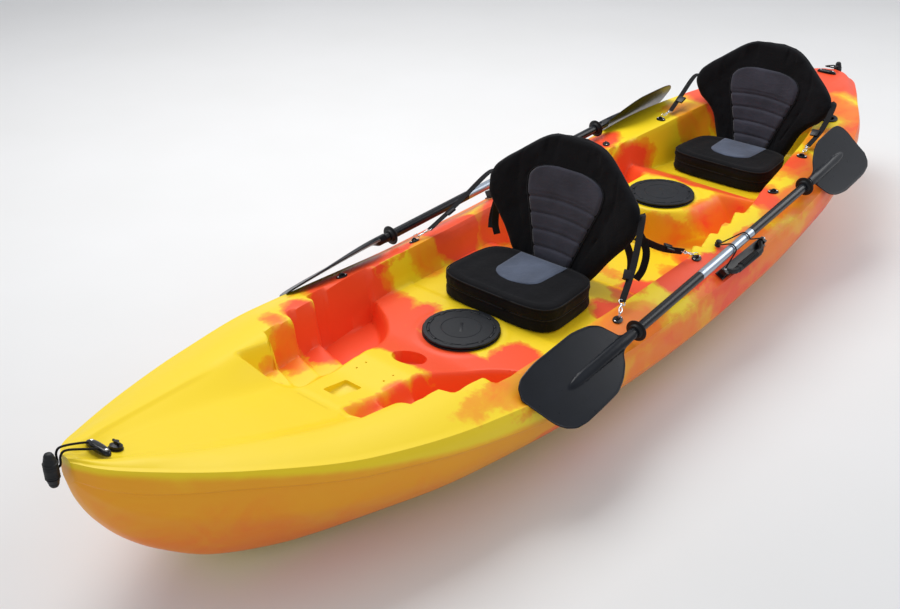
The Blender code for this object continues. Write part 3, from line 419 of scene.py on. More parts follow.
def fabric(name, color, rough, pitch=620.0, sheen=0.25):
    """Woven cloth: crossed wave patterns, and soft creases."""
    sh = Shader(name, color, rough)
    threads = 0.0
    for axis in "XYZ":
        weave = {"Vector": sh.coords, "Scale": pitch / 6.0, "Distortion": 0.4}
        wave = sh.node("ShaderNodeTexWave", weave, bands_direction=axis)
        threads = sh.math("ADD", wave.outputs["Fac"], threads)
    sh.bump(threads, 0.30, 0.0004)
    sh.bump(sh.noise(24.0, 5.0, 0.6, 0.6), 0.45, 0.0060)
    sh.tint(sh.noise(9.0, 5.0), color, 0.75, 1.3)
    sh.feed(sh.bsdf, {"Specular IOR Level": 0.18, "Sheen Weight": sheen, "Sheen Roughness": 0.45})
    return sh.mat


def metal(name, color, rough, brushed=0.0):
    sh = Shader(name, color, rough, 1.0)
    sh.vary_rough(sh.noise(90.0, 4.0, 0.6, 0.0, (1 - brushed, 1, 1)), rough - 0.06, rough + 0.10)
    sh.bump(sh.noise(260.0, 3.0, 0.6, 0.0, (1 - 0.96 * brushed, 1, 1)), 0.10, 0.0003)
    return sh.mat


LOOKS = {}      # each look's material and a CAD slot name, which nothing uses; make_looks fills it


def make_looks():
    """Every material except the hull's, by the name that add takes."""
    blade_black = (0.0045, 0.0065, 0.011)
    bag_black = (0.010, 0.011, 0.016)
    LOOKS.update({
        "black": (plastic("black_plastic", (0.006, 0.006, 0.008), 0.34), "black_plastic"),
        "gloss": (plastic("gloss_plastic", (0.005, 0.005, 0.006), 0.16, 200.0), "black_plastic"),
        "slate": (plastic("slate_plastic", (0.007, 0.009, 0.013), 0.44, 420.0, 0.26), "slate_plastic"),
        "blade": (plastic("blade_plastic", blade_black, 0.30, 300.0, 0.24, 0.06), "slate_plastic"),
        "rubber": (plastic("black_rubber", (0.007, 0.008, 0.010), 0.52, 700.0), "black_rubber"),
        "carbon": (plastic("shaft_black", (0.005, 0.006, 0.009), 0.24, 240.0), "black_plastic"),
        "alloy": (metal("bare_alloy", (0.44, 0.50, 0.58), 0.30, 0.9), "bare_alloy"),
        "steel": (metal("steel", (0.72, 0.73, 0.75), 0.22), "bare_alloy"),
        "fabric": (fabric("seat_fabric", (0.0040, 0.0042, 0.0058), 0.92, 620.0, 0.04), "seat_fabric"),
        "panel": (fabric("panel_fabric", (0.040, 0.041, 0.058), 0.80), "seat_fabric"),
        "inset": (fabric("inset_fabric", (0.072, 0.090, 0.135), 0.80), "seat_fabric"),
        "nylon": (fabric("bag_nylon", bag_black, 0.55, 800.0, 0.05), "seat_fabric"),
        "trim": (fabric("trim_fabric", (0.010, 0.011, 0.014), 0.7, 900.0, 0.05), "seat_fabric"),
        "web": (fabric("webbing", (0.005, 0.005, 0.007), 0.72, 500.0, 0.06), "webbing"),
        "cord": (fabric("cord", (0.004, 0.004, 0.005), 0.66, 900.0, 0.06), "webbing"),
    })


# ---------------------------------------------------------------- modelling helpers
def new_object(name, shape, material, smooth=35.0):
    """Mesh object with its faces turned outward; smooth is the sharp edges' angle, or 0."""
    verts, faces = shape
    mesh = bpy.data.meshes.new(name)
    mesh.from_pydata([tuple(v) for v in verts], [], [tuple(f) for f in faces])
    bm = bmesh.new()
    bm.from_mesh(mesh)
    bmesh.ops.recalc_face_normals(bm, faces=bm.faces)
    bm.to_mesh(mesh)
    bm.free()
    obj = bpy.data.objects.new(name, mesh)
    bpy.context.scene.collection.objects.link(obj)
    mesh.materials.append(material)
    mesh.shade_smooth()
    if smooth:
        mesh.set_sharp_from_angle(angle=radians(smooth))
    return obj


def add(name, shape, look, body=None, smooth=35.0, replaces=()):
    """A piece that rides on a CAD body, with one of LOOKS."""
    material, usual_slot = LOOKS[look]
    obj = new_object(name, shape, material, smooth)
    if body:
        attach(obj, body)
    if replaces:
        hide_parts(*replaces)
    return obj


def around(n):
    """Evenly spaced angles of a full turn."""
    return [2 * pi * (k + 0.5) / n for k in range(n)]


def rounded(t):
    """Quarter-circle rise from 0 at t = 0 to 1 at t = 1."""
    return sqrt(max(0.0, 1 - (1 - t) ** 2))


def signed_power(value, power):
    return abs(value) ** power * (1 if value > 0 else -1)


def mirrored(points):
    """The route's reflection in the centre plane, run backwards."""
    return [Vector((p.x, -p.y, p.z)) for p in reversed(points)]


def lofted(rings, caps=True):
    """Vertices and faces through rings of equal point counts."""
    verts = [p for ring in rings for p in ring]
    n = len(rings[0])
    last = (len(rings) - 1) * n
    faces = []
    for r in range(0, last, n):
        faces += [(r + i, r + (i + 1) % n, r + n + (i + 1) % n, r + n + i) for i in range(n)]
    if caps:
        faces += [tuple(range(n - 1, -1, -1)), tuple(range(last, last + n))]
    else:
        faces += [(last + i, last + (i + 1) % n, (i + 1) % n, i) for i in range(n)]
    return verts, faces


def merged(*parts):
    """Several vertex and face lists as one."""
    verts = []
    faces = []
    for v, f in parts:
        base = len(verts)
        verts += list(v)
        faces += [tuple(base + i for i in face) for face in f]
    return verts, faces


def basis(axis):
    return Vector(axis).normalized().to_track_quat("Z", "Y").to_matrix()


def lathe(profile, centre, axis=UP, n=40, caps=True, wobble=None):
    """Body of revolution; wobble(angle, ring) scales the radius, for lobes and notches."""
    turn = basis(axis)
    rings = []
    for k, (radius, height) in enumerate(profile):
        radii = [(radius * (wobble(t, k) if wobble else 1.0), t) for t in around(n)]
        rings.append([Vector(centre) + turn @ Vector((r * cos(t), r * sin(t), height)) for r, t in radii])
    return lofted(rings, caps)


def stacked(point, turn, outline, levels):
    """Body whose sections are one outline, at each level's size and height."""
    return lofted([[point + turn @ Vector((size * x, size * y, z)) for x, y in outline]
                   for size, z in levels])


def heading(points, i):
    """Direction of a route at its point i."""
    return points[min(i + 1, len(points) - 1)] - points[max(i - 1, 0)]


def swept(points, radii, n=12, squash=1.0):
    """Round or oval body along a bent route."""
    rings = []
    for i, p in enumerate(points):
        turn = basis(heading(points, i))
        r = radii[i] if hasattr(radii, "__len__") else radii
        rings.append([p + turn @ Vector((r * cos(t), r * squash * sin(t), 0)) for t in around(n)])
    return lofted(rings)


def closed_tube(loop, radius):
    """Thin cord laid along a closed loop."""
    return swept([*loop, loop[0], loop[1]], radius, 6)


def torus(centre, axis, major, minor, n=24, m=8, stretch=1.0):
    """Ring of wire."""
    turn = basis(axis)
    rings = []
    for i in range(n):
        t = 2 * pi * i / n
        way = Vector((cos(t), stretch * sin(t), 0))
        side = Vector((cos(t), sin(t), 0))
        rings.append([Vector(centre) + turn @ (way * major + side * minor * cos(s) + UP * minor * sin(s))
                      for s in (2 * pi * k / m for k in range(m))])
    return lofted(rings, caps=False)


def smooth_route(points, count):
    """A Catmull-Rom curve through the points."""
    pts = [Vector(p) for p in points]
    pts = [pts[0] * 2 - pts[1], *pts, pts[-1] * 2 - pts[-2]]
    spans = len(pts) - 3
    route = []
    for k in range(count + 1):
        s = min(spans * k / count, spans - 1e-9)
        i = int(s)
        t = s - i
        p0, p1, p2, p3 = pts[i:i + 4]
        route.append(0.5 * (2 * p1 + (p2 - p0) * t + (2 * p0 - 5 * p1 + 4 * p2 - p3) * t * t
                            + (3 * p1 - p0 - 3 * p2 + p3) * t ** 3))
    return route


def box_at(centre, size, frame, bevel):
    """Bevelled box with its axes along the three vectors of frame."""
    bm = bmesh.new()
    bmesh.ops.create_cube(bm, size=1.0)
    bmesh.ops.scale(bm, vec=size, verts=bm.verts)
    bmesh.ops.bevel(bm, geom=bm.edges[:], offset=bevel, segments=2, affect="EDGES", profile=0.5)
    pose = Matrix.Translation(centre) @ Matrix([list(v) for v in frame]).transposed().to_4x4()
    bmesh.ops.transform(bm, matrix=pose, verts=bm.verts)
    bm.verts.index_update()
    shape = [v.co.copy() for v in bm.verts], [tuple(v.index for v in f.verts) for f in bm.faces]
    bm.free()
    return shape


def screw_heads(name, centres, normal, r):
    """Pan heads with a dished recess."""
    dome = [(r, 0.0), (r, 0.0006), (0.8 * r, 0.0014), (0.35 * r, 0.0017), (0.1 * r, 0.0009)]
    add(name, merged(*[lathe(dome, centre, normal, 16) for centre in centres]), "steel", "hull", 40)


# ---------------------------------------------------------------- hull
def section(x):
    """Fine hull section from the keel up to the gunwale's outer top edge."""
    w = float(half_beam(x))
    low = float(keel_z(x))
    top = float(edge_z(x))
    edge = float(outer_edge(x))
    part = top - float(band(x))
    rise = part - low
    k = min(1.0, w / 0.12)
    chine = 0.40 + 0.09 * float(ease((abs(x) - 0.9) / 0.6))
    knots = [(0.0, low), (0.10 * w, low), (0.45 * w, low + 0.10 * rise),
             (0.80 * w, low + chine * rise), (0.94 * w, low + 0.74 * rise),
             (w - 0.009 * k, part - 0.012 * k)]
    ys = curve([(i, p[0]) for i, p in enumerate(knots)])
    zs = curve([(i, p[1]) for i, p in enumerate(knots)])
    t = np.concatenate([np.linspace(0, 1, 5)[:-1], np.linspace(1, 5, 34)])
    pts = [(float(a), float(b)) for a, b in zip(ys(t), zs(t))]
    pts += [(w - 0.0070 * k, part - 0.006 * k), (w - 0.0016 * k, part - 0.0030 * k),
            (w, part), (w - 0.0004 * k, part + 0.004 * k)]
    for f in (0.2, 0.35, 0.5, 0.65, 0.8, 0.9, 0.96):
        lean = 0.05 + 0.35 * ease((f - 0.55) / 0.45)
        pts.append((w - float(lean) * (w - edge), part + f * (top - part)))
    return pts


def fine_rows(x):
    edge = float(outer_edge(x))
    crest = min(float(inner_smooth(x)) + CREST_STEP, 0.74 * edge)
    side = min(float(inner_edge(x)), crest - 0.1 * edge)
    side = max(side, 0.35 * edge)
    run = min(WALL_RUN, 0.3 * side)
    return np.concatenate([np.linspace(edge, crest, 12)[:-1], np.linspace(crest, side + 0.003, 6)[:-1],
                           np.linspace(side + 0.003, side - run - 0.003, 12)[:-1],
                           np.linspace(side - run - 0.003, 0, 46)])


def visual_deck(x, a):
    """Deck height with the small relief that the CAD leaves out."""
    z = deck_height(x, a)
    for hatch in (FRONT_HATCH, MIDDLE_HATCH):
        r = np.hypot(x - hatch[0], a)
        z = z + 0.0022 * ease((r - 0.120) / 0.006) * ease((0.150 - r) / 0.020)
    crease = 0.60 * outer_edge(x)
    fore = ease((x - 1.30) / 0.12) * ease((1.80 - x) / 0.10)
    z = z + fore * 0.004 * ease((a - crease + 0.012) / 0.012) * ease((crease + 0.05 - a) / 0.05)
    return z


def hull_skin():
    """Closed grid through the sections and the deck, with a flat cap at both ends."""
    tip = np.linspace(HULL_END - TIP_LEN, HULL_END, 12)
    xs = np.concatenate([-tip[:0:-1], np.linspace(-tip[0], tip[0], 600)[:-1], tip])
    rings = []
    for x in xs:
        x = float(x)
        half = [(x, y, z) for y, z in section(x)]
        rows = fine_rows(x)
        lean = RIDGE_SKEW * float(ease((x - 0.78) / 0.08) * ease((1.165 - x) / 0.05))
        px = np.minimum(x + lean * np.clip(float(inner_smooth(x)) - rows, 0, 0.2), HULL_END)
        pz = visual_deck(px, rows)
        closing = float(ease((abs(x) - 1.805) / 0.04))
        crown = np.maximum.accumulate(pz) + 0.12 * np.maximum(0.0, rows[int(np.argmax(pz))] - rows)
        pz = pz + (crown - pz) * closing
        half += [(float(u), float(a), float(z)) for u, a, z in zip(px, rows, pz)]
        rings.append(half + [(p[0], -p[1], p[2]) for p in reversed(half[1:-1])])
    return lofted(rings)


def hull_cutters(tree):
    """Hatch holes, cup, tray, four console screw holes and the rod holders' bores."""
    cuts = []
    for centre, deep in ((FRONT_HATCH, 0.15), (MIDDLE_HATCH, 0.20)):
        cuts.append(lathe([(HATCH_HOLE_R, -deep), (HATCH_HOLE_R, 0.05)], centre, n=64))
    x, r, deep = CUP
    cuts.append(lathe([(0.70 * r, -deep), (0.84 * r, -deep + 0.003), (0.90 * r, -deep + 0.010),
                       (0.96 * r, -0.004), (1.05 * r, 0.001), (1.15 * r, 0.03)],
                      (x, 0, float(console_z(x))), n=48))
    x, long, wide, deep = TRAY
    above = Vector((x, 0, float(console_z(x)) - deep + 0.05))
    cuts.append(box_at(above, (long, wide, 0.10), Matrix.Identity(3), 0.006))
    for dx in (-0.018, 0.018):
        for dy in (-0.050, 0.050):
            cuts.append(lathe([(0.0024, -0.006), (0.0034, 0.002)], (0.945 + dx, dy, 0.250), n=12))
    for side, _ in SIDES:
        point, normal = on_hull(tree, ROD_HOLDER[0], side * ROD_HOLDER[1])
        cuts.append(lathe([(0.0240, -0.170), (0.0240, 0.05)], point, normal, n=32))
    return merged(*cuts)


def make_hull(material):
    """The hull's skin with its recesses cut in; returns a tree of the uncut surface."""
    hull = new_object("hull", hull_skin(), material, 0)
    mesh = hull.data
    tree = BVHTree.FromPolygons([tuple(v.co) for v in mesh.vertices],
                                [tuple(p.vertices) for p in mesh.polygons])
    cutter = new_object("cutter", hull_cutters(tree), material, 0)
    cuts = hull.modifiers.new("cuts", "BOOLEAN")
    cuts.operation = "DIFFERENCE"
    cuts.solver = "EXACT"
    cuts.object = cutter
    graph = bpy.context.evaluated_depsgraph_get()
    solid = bpy.data.meshes.new_from_object(hull.evaluated_get(graph))
    hull.modifiers.clear()
    hull.data = solid
    bpy.data.objects.remove(cutter, do_unlink=True)
    solid.shade_smooth()
    solid.set_sharp_from_angle(angle=radians(46))
    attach(hull, "hull")
    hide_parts("hull_shell")
    return tree


def drop_on(tree, x, y):
    """Point of the uncut hull straight below (x, y)."""
    return tree.ray_cast(Vector((x, y, 1)), -UP)[0]


def on_hull(tree, x, y, reach=0.008):
    """Point on the deck and the mean normal around it."""
    hits = [drop_on(tree, x + dx, y + dy) for dx in (-reach, 0, reach) for dy in (-reach, 0, reach)]
    across = hits[5] + hits[8] + hits[2] - hits[3] - hits[0] - hits[6]
    along = hits[6] + hits[7] + hits[8] - hits[0] - hits[1] - hits[2]
    normal = along.cross(across).normalized()
    return hits[4], normal if normal.z > 0 else -normal


def seat_frame(tree, x, y, reach):
    """Lowest plane that clears the hull within reach of (x, y), as in the CAD."""
    steps = [reach * i / 4 for i in range(-4, 5)]
    hits = [drop_on(tree, x + dx, y + dy) for dx in steps for dy in steps]
    samples = [hit for hit in hits if hit]
    grid = np.array([(p.x - x, p.y - y, 1.0) for p in samples])
    slope = np.linalg.lstsq(grid, np.array([p.z for p in samples]), rcond=None)[0]
    normal = Vector((-slope[0], -slope[1], 1.0)).normalized()
    middle = Vector((x, y, slope[2]))
    rise = max((p - middle).dot(normal) for p in samples)
    return middle + normal * (rise + 0.0002), normal


# ---------------------------------------------------------------- seats
# half width of the backrests, their wings' seam and their panel, by the height up their face
TOP_EDGE = [(0.255, 0.276), (0.285, 0.268), (0.317, 0.240), (0.350, 0.198), (0.380, 0.160),
            (0.405, 0.126), (0.425, 0.084), (0.4335, 0.030)]
BACK_OUTLINES = {
    "front": curve([(0.0, 0.122), (0.05, 0.160), (0.10, 0.192), (0.14, 0.222), (0.18, 0.254),
                    (0.215, 0.272), *TOP_EDGE]),
    "rear": curve([(0.0, 0.112), (0.03, 0.138), (0.08, 0.160), (0.13, 0.180), (0.165, 0.208),
                   (0.20, 0.250), *TOP_EDGE]),
}
wing_seam = curve([(0.08, 0.112), (0.16, 0.146), (0.24, 0.172), (0.31, 0.182), (0.37, 0.170)])
panel_outline = curve([(0.020, 0.058), (0.05, 0.068), (0.12, 0.090), (0.20, 0.117), (0.255, 0.134),
                       (0.285, 0.136), (0.310, 0.122), (0.326, 0.090), (0.334, 0.045)])
PANEL_TOP = 0.334
BACK_TOP = 0.4335
CHANNELS = (0.080, 0.132, 0.184, 0.234)


def back_at(foot_x, s, y, ahead):
    """Point on a reclined backrest: s up its face, y across, ahead of the face."""
    wrap = BACK_WRAP * y * y
    return Vector((foot_x - s * sin(RECLINE) + ahead * cos(RECLINE) + wrap, y,
                   BACK_FOOT_Z + s * cos(RECLINE) + ahead * sin(RECLINE)))


def crease(point, depth, pitch):
    """How far slack cloth falls inward at a point, in soft irregular folds."""
    spot = Vector([value * rate for value, rate in zip(point, pitch)])
    fold = noise.noise(spot) + 0.5 * noise.noise(spot * 2.3)
    return depth * min(1.0, max(0.0, 0.45 + 0.75 * fold))


def back_bulge(s, y, half):
    """Rounding of the pad towards its edge, and the depth of its sewn grooves."""
    rim = max(0.0, half - abs(y))
    round_off = rounded(min(1.0, rim / 0.022)) * rounded(min(1.0, (BACK_TOP - s) / 0.020))
    seam = abs(abs(y) - float(panel_outline(s)) - 0.006) if 0.02 < s < PANEL_TOP else 1.0
    groove = 0.0045 * max(0.0, 1 - seam / 0.010) ** 2
    if 0.09 < s < 0.385:
        lap = abs(y) - float(wing_seam(s))
        groove += 0.0040 * max(0.0, 1 - abs(lap) / 0.007) ** 2
    wing = 0.0035 * sin(pi * min(1.0, rim / 0.09)) * (abs(y) > 0.10)
    return round_off, groove - wing


def back_pad(foot_x, outline):
    """The padded backrest: rounded at its rim, grooved at its seams and slack behind."""
    levels = np.concatenate([np.linspace(0.0, 0.40, 80), np.linspace(0.40, BACK_TOP, 12)[1:]])
    across = np.sin(np.linspace(-pi / 2, pi / 2, 91))
    middle = -0.5 * BACK_THICK
    rings = []
    for s in levels.tolist():
        half = float(outline(s))
        face = []
        rear = []
        for y in (half * across).tolist():
            r, dip = back_bulge(s, y, half)
            slack = crease((s, y, foot_x), 0.0042, (15.0, 24.0, 1.0)) * r
            loose = slack if abs(y) > float(panel_outline(s)) + 0.012 else 0.0
            face.append(back_at(foot_x, s, y, middle - middle * r - dip * r - loose))
            rear.append(back_at(foot_x, s, y, middle + middle * r * 0.96 + slack))
        rings.append(face + list(reversed(rear)))
    return lofted(rings)


def back_panel(foot_x):
    """Quilted centre panel, puffed between its stitched channels."""
    rings = []
    for s in np.linspace(0.020, PANEL_TOP, 96).tolist():
        half = float(panel_outline(s))
        face = []
        under = []
        for f in np.linspace(-1, 1, 41).tolist():
            y = half * f
            bow = s + 0.10 * y * y / 0.15
            lip = max(0.0, min(1.0, (1 - abs(f)) * half / 0.010, (s - 0.0195) / 0.008,
                               (PANEL_TOP + 0.0005 - s) / 0.008))
            puff = 0.0052 * rounded(lip)
            for channel in CHANNELS:
                puff -= 0.0048 * max(0.0, 1 - abs(bow - channel) / 0.0085) ** 1.5
            swell = 0.0016 * sin(pi * (bow - 0.034) / 0.054) ** 2 if bow < 0.25 else 0.0016
            face.append(back_at(foot_x, s, y, puff + swell * lip - 0.0008))
            under.append(back_at(foot_x, s, y, -0.0060))
        rings.append(face + list(reversed(under)))
    return lofted(rings)


def make_back(name, foot_x):
    body = f"{name}_seat_back"
    outline = BACK_OUTLINES[name]
    pad = add(f"{name}_back_pad", back_pad(foot_x, outline), "fabric", body, 50, (body,))
    heights = (BACK_TOP * np.linspace(0, 1, 61)).tolist()
    rim = [back_at(foot_x, s, float(outline(s)) - 0.0010, -0.5 * BACK_THICK) for s in heights]
    add(f"{name}_back_piping", swept([*rim, *mirrored(rim)[1:]], 0.0030, 8), "trim", body, 0)
    add(f"{name}_back_panel", back_panel(foot_x), "panel", body, 50)
    heights = (0.022 + (PANEL_TOP - 0.024) * np.linspace(0, 1, 60)).tolist()
    seam = [back_at(foot_x, s, float(panel_outline(s)) + 0.004, -0.0006) for s in heights]
    add(f"{name}_back_seam", swept(seam + mirrored(seam), 0.0016, 6), "trim", body, 0)


def make_bag(name, foot_x):
    """Soft zipped bag on the rear of the backrest: rounded, sagging at its foot."""
    foot, top, half, deep = BAG
    levels = [0.0, 0.02, 0.05, 0.09, 0.14, 0.20, 0.28, 0.36, 0.45, 0.54, 0.63, 0.71, 0.78, 0.84, 0.89,
              0.93, 0.96, 0.985, 1.0]
    rings = []
    for f in levels:
        pinch = 0.010 * max(0.0, 1 - f / 0.10) + 0.034 * f ** 5
        low = foot + 0.020 * f ** 3 + pinch * 0.6 + 0.002
        high = top - 0.062 * f ** 1.5 - pinch * 0.8 - 0.002
        wide = half - 0.020 * f ** 4 - pinch * 0.6 - 0.002
        ring = []
        for t in around(96):
            u = signed_power(cos(t), 0.42)
            v = signed_power(sin(t), 0.42)
            slump = 0.0035 * sin(9.0 * u + 4.0 * f) * sin(5.0 * v + 2.0) * sin(pi * min(1.0, f * 1.4))
            s = 0.5 * (low + high) + 0.5 * (high - low) * v
            ring.append(back_at(foot_x, s, wide * u, -(BACK_THICK + 0.0006 + deep * f) + slump))
        rings.append(ring)
    body = f"{name}_back"
    add(f"{name}_bag_shell", lofted(rings), "nylon", body, 60, (f"{name}_bag",))
    seams = []
    for level in (0.09, 0.63):
        ring = rings[levels.index(level)]
        middle = sum(ring, Vector()) / len(ring)
        seams.append(closed_tube([middle + (q - middle) * 1.004 for q in ring], 0.0020))
    add(f"{name}_bag_piping", merged(*seams), "trim", body, 0)


def squircle(inset, length, wide, narrow, n):
    """Corner-rounded outline, wider at the front end, inset from the seat's size."""
    pts = []
    for t in around(n):
        x = signed_power(cos(t), 2 / 4.6)
        y = signed_power(sin(t), 2 / 4.6)
        taper = narrow - 2 * inset + (wide - narrow) * (0.5 + 0.5 * x)
        pts.append((x * (length - 2 * inset) / 2, y * taper / 2))
    return pts


# the cushion's side and shoulder: inset from the outline, height
CUSHION_SIDE = [(0.016, 0.0), (0.006, 0.002), (0.0015, 0.008), (0.0004, 0.013), (0.0, 0.018),
                (0.0003, 0.024), (0.001, 0.030), (0.0040, 0.038), (0.0072, 0.0415), (0.0072, 0.0425),
                (0.0030, 0.046), (0.0012, 0.050), (0.0006, 0.054), (0.0001, 0.0585), (0.0, 0.063),
                (0.0006, 0.0675), (0.0018, 0.072), (0.007, 0.0795), (0.014, 0.0830), (0.022, 0.0842)]
CUSHION_SEAM = 0.0418
SHOULDER = CUSHION_SIDE[-1]


def cushion_pad(centre, size, foot_x):
    """Two sewn rolls with slack sides under a slightly crowned top."""
    rings = []
    for inset, z in CUSHION_SIDE:
        slack = 0.0050 * abs(sin(pi * (z - CUSHION_SEAM) / (0.036 if z > CUSHION_SEAM else CUSHION_SEAM)))
        ring = []
        for x, y in squircle(inset, *size, 200):
            fall = crease(centre + Vector((x, y, z)), slack, (26.0, 26.0, 44.0)) / hypot(x, y)
            ring.append(centre + Vector((x * (1 - fall), y * (1 - fall), z)))
        rings.append(ring)
    base = squircle(SHOULDER[0], *size, 200)
    for f in (0.94, 0.86, 0.76, 0.64, 0.5, 0.34, 0.16, 0.05):
        stitched = 0.0026 * max(0.0, 1 - abs(f - 0.86) / 0.06)
        lift = SHOULDER[1] + (CUSHION_HEIGHT - SHOULDER[1]) * (1 - f) - stitched
        ring = []
        for x, y in base:
            fall = crease((x * f, y * f, foot_x), 0.0022, (20.0, 20.0, 34.0))
            ring.append(centre + Vector((x * f, y * f, lift - fall)))
        rings.append(ring)
    return lofted(rings)


def cushion_inset(centre, length):
    """Tongue of lighter cloth on the cushion's top, from its rear edge forwards."""
    start = centre.x - length / 2 + 0.016
    reach = 0.62 * length
    rings = []
    for u in np.linspace(0, 1, 40).tolist():
        half = 0.086 * (1 - 0.10 * u) * sqrt(max(0.0, 1 - max(0.0, (u - 0.66) / 0.34) ** 2.2)) + 0.002
        face = []
        under = []
        for f in np.linspace(-1, 1, 31).tolist():
            lip = max(0.0, min(1.0, (1 - abs(f)) * half / 0.012, (1 - u) * reach / 0.012, u * reach / 0.012))
            rise = min(0.0846 + 0.0030 * rounded(lip), 0.0876)
            face.append(Vector((start + u * reach, f * half, centre.z + rise)))
            under.append(Vector((start + u * reach, f * half, centre.z + 0.0800)))
        rings.append(face + list(reversed(under)))
    return lofted(rings)


def make_cushion(name, foot_x, *size):
    length = size[0]
    centre = Vector((foot_x + 0.012 + length / 2, 0, PAN_Z + GAP))
    shape = cushion_pad(centre, size, foot_x)
    pad = add(f"{name}_cushion_pad", shape, "fabric", "hull", 50, (f"{name}_seat_cushion",))
    tubes = []
    for inset, z in ((0.0045, CUSHION_SEAM), (0.0035, 0.0775)):
        loop = [centre + Vector((x, y, z)) for x, y in squircle(inset, *size, 96)]
        tubes.append(closed_tube(loop, 0.0022))
    add(f"{name}_cushion_piping", merged(*tubes), "trim", "hull", 0)
    add(f"{name}_cushion_inset", cushion_inset(centre, length), "inset", "hull", 50)


def webbing(name, points, wide, across, body=None):
    """Flat woven strap along a route; across is the direction of its width."""
    half = [(-1.0, 0), (-0.96, 0.5), (-0.5, 0.42), (0, 0.5), (0.5, 0.42), (0.96, 0.5), (1.0, 0)]
    outline = half + [(a, -b) for a, b in reversed(half[1:-1])]
    rings = []
    for i, p in enumerate(points):
        ahead = heading(points, i)
        side = (across - ahead * (across.dot(ahead) / ahead.length_squared)).normalized()
        up = ahead.cross(side).normalized()
        rings.append([p + side * (a * wide / 2) + up * (b * STRAP_THICK) for a, b in outline])
    return add(name, lofted(rings), "web", body, 60)


def snap_hook(start, end, side):
    """Wire snap hook between a strap's end and a ring."""
    way = (end - start).normalized()
    length = (end - start).length
    eye = torus(start + way * 0.006, side.cross(way), 0.0075, 0.0016, 20, 8, 1.5)
    shank = swept([start + way * 0.012, start + way * 0.022], [0.0036, 0.0030], 12)
    swivel = lathe([(0.0042, 0.0), (0.0048, 0.002), (0.0036, 0.005)], start + way * 0.012, way, 14)
    hook = [start + way * 0.021, start + way * 0.026 + side * -0.004]
    for t in np.linspace(-0.1 * pi, 1.35 * pi, 22):
        hook.append(start + way * (length - 0.010 + 0.010 * cos(t)) + side * (0.0055 * sin(t)))
    gate = [start + way * 0.024 + side * 0.004, start + way * (length - 0.012) + side * 0.0055]
    return merged(eye, shank, swivel, swept(hook, 0.0019, 8), swept(gate, 0.0013, 8))


def make_pad_eye(tree, label, index, x, y):
    node = f"{label}_pad_eye_{index}"
    point, normal = seat_frame(tree, x, y, EYE_REACH)
    turn = basis(normal)
    oval = [(0.0188 * cos(t), 0.0134 * sin(t)) for t in around(36)]
    plate = stacked(point, turn, oval, ((1.0, GAP), (1.0, 0.0022), (0.96, 0.0034), (0.80, 0.0040)))
    arch = [point + turn @ Vector((0.0085 * cos(a), 0.0, 0.0015 + 0.0080 * sin(a)))
            for a in np.linspace(0, pi, 11)]
    add(f"{node}_plate", merged(plate, swept(arch, 0.0028, 10, 1.25)), "black", "hull", 40, (node,))
    screw_heads(f"{node}_screws", [point + turn @ Vector((d, 0, 0.0040)) for d in (-0.0138, 0.0138)],
                normal, 0.0032)


def make_straps(tree, name, foot_x, fore_eye, aft_eye):
    """Both sides' webbing, with snap hooks and wire rings at the eyes."""
    for side, label in SIDES:
        spread = {"fore": Vector((0, 1, 0.30)), "aft": Vector((0, 0.35 * side, 1))}
        sag = Vector((0, side * 0.006, -0.010))
        knot = back_at(foot_x, 0.205, side * 0.262, -BACK_THICK - 0.004)
        metalwork = []
        for end, (ex, ey) in (("fore", fore_eye), ("aft", aft_eye)):
            point, normal = seat_frame(tree, ex, side * ey, EYE_REACH)
            eye = point + normal * 0.0095
            if (end, name) == ("aft", "rear"):
                point, normal = on_hull(tree, ex, side * ey)
                eye = point + normal * 0.012
            toward = (knot - eye).normalized()
            across = toward.cross(normal)
            metalwork.append(torus(eye + toward * 0.010, across, 0.0105, 0.0012, 26, 8))
            metalwork.append(snap_hook(eye + toward * 0.062, eye + toward * 0.016, across.normalized()))
            last = eye + toward * 0.058
            if end == "fore":
                start = back_at(foot_x, 0.275, side * 0.262, -BACK_THICK - 0.004)
                middle = back_at(foot_x, 0.262, side * 0.286, -0.020)
                route = smooth_route([start, middle, last.lerp(middle, 0.5) + sag, last], 26)
            else:
                start = knot
                route = smooth_route([start, last.lerp(start, 0.5) + sag, last], 22)
            strap = webbing(f"{name}_{label}_{end}_web", route, 0.0235, spread[end])
            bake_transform(strap)
            if end == "fore":
                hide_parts(f"{name}_seat_{label}_strap")
            along = (last - start).normalized()
            flat = along.cross(normal).normalized()
            frame = (along, flat, along.cross(flat))
            buckle = box_at(last.lerp(start, 0.30), (0.030, 0.028, 0.007), frame, 0.0015)
            piece = add(f"{name}_{label}_{end}_buckle", buckle, "black", smooth=40)
            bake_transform(piece)
        add(f"{name}_{label}_hooks", merged(*metalwork), "steel", "hull", 50)


# loose strap ends: height up the back, distance out, distance behind it, length
TAILS = ((0.225, 0.258, 0.055, 0.150), (0.190, 0.240, 0.020, 0.135))


def make_tails(name, foot_x):
    """Loose ends of the adjusting straps, hanging from the backrest's edge."""
    back = f"{name}_seat_back"
    for side, label in SIDES:
        for k, (s, out, behind, drop) in enumerate(TAILS):
            top = back_at(foot_x, s, side * out, -behind)
            mid = top + Vector((-0.012, side * (0.026 - 0.010 * k), -0.42 * drop))
            low = top + Vector((0.004 - 0.016 * k, side * (0.030 - 0.012 * k), -0.78 * drop))
            end = top + Vector((0.022 - 0.030 * k, side * (0.020 - 0.014 * k), -drop))
            route = smooth_route([top, mid, low, end], 24)
            tail = webbing(f"{name}_{label}_tail_{k + 1}", route, 0.0225, Vector((-0.55, 0.84, 0.05)), back)


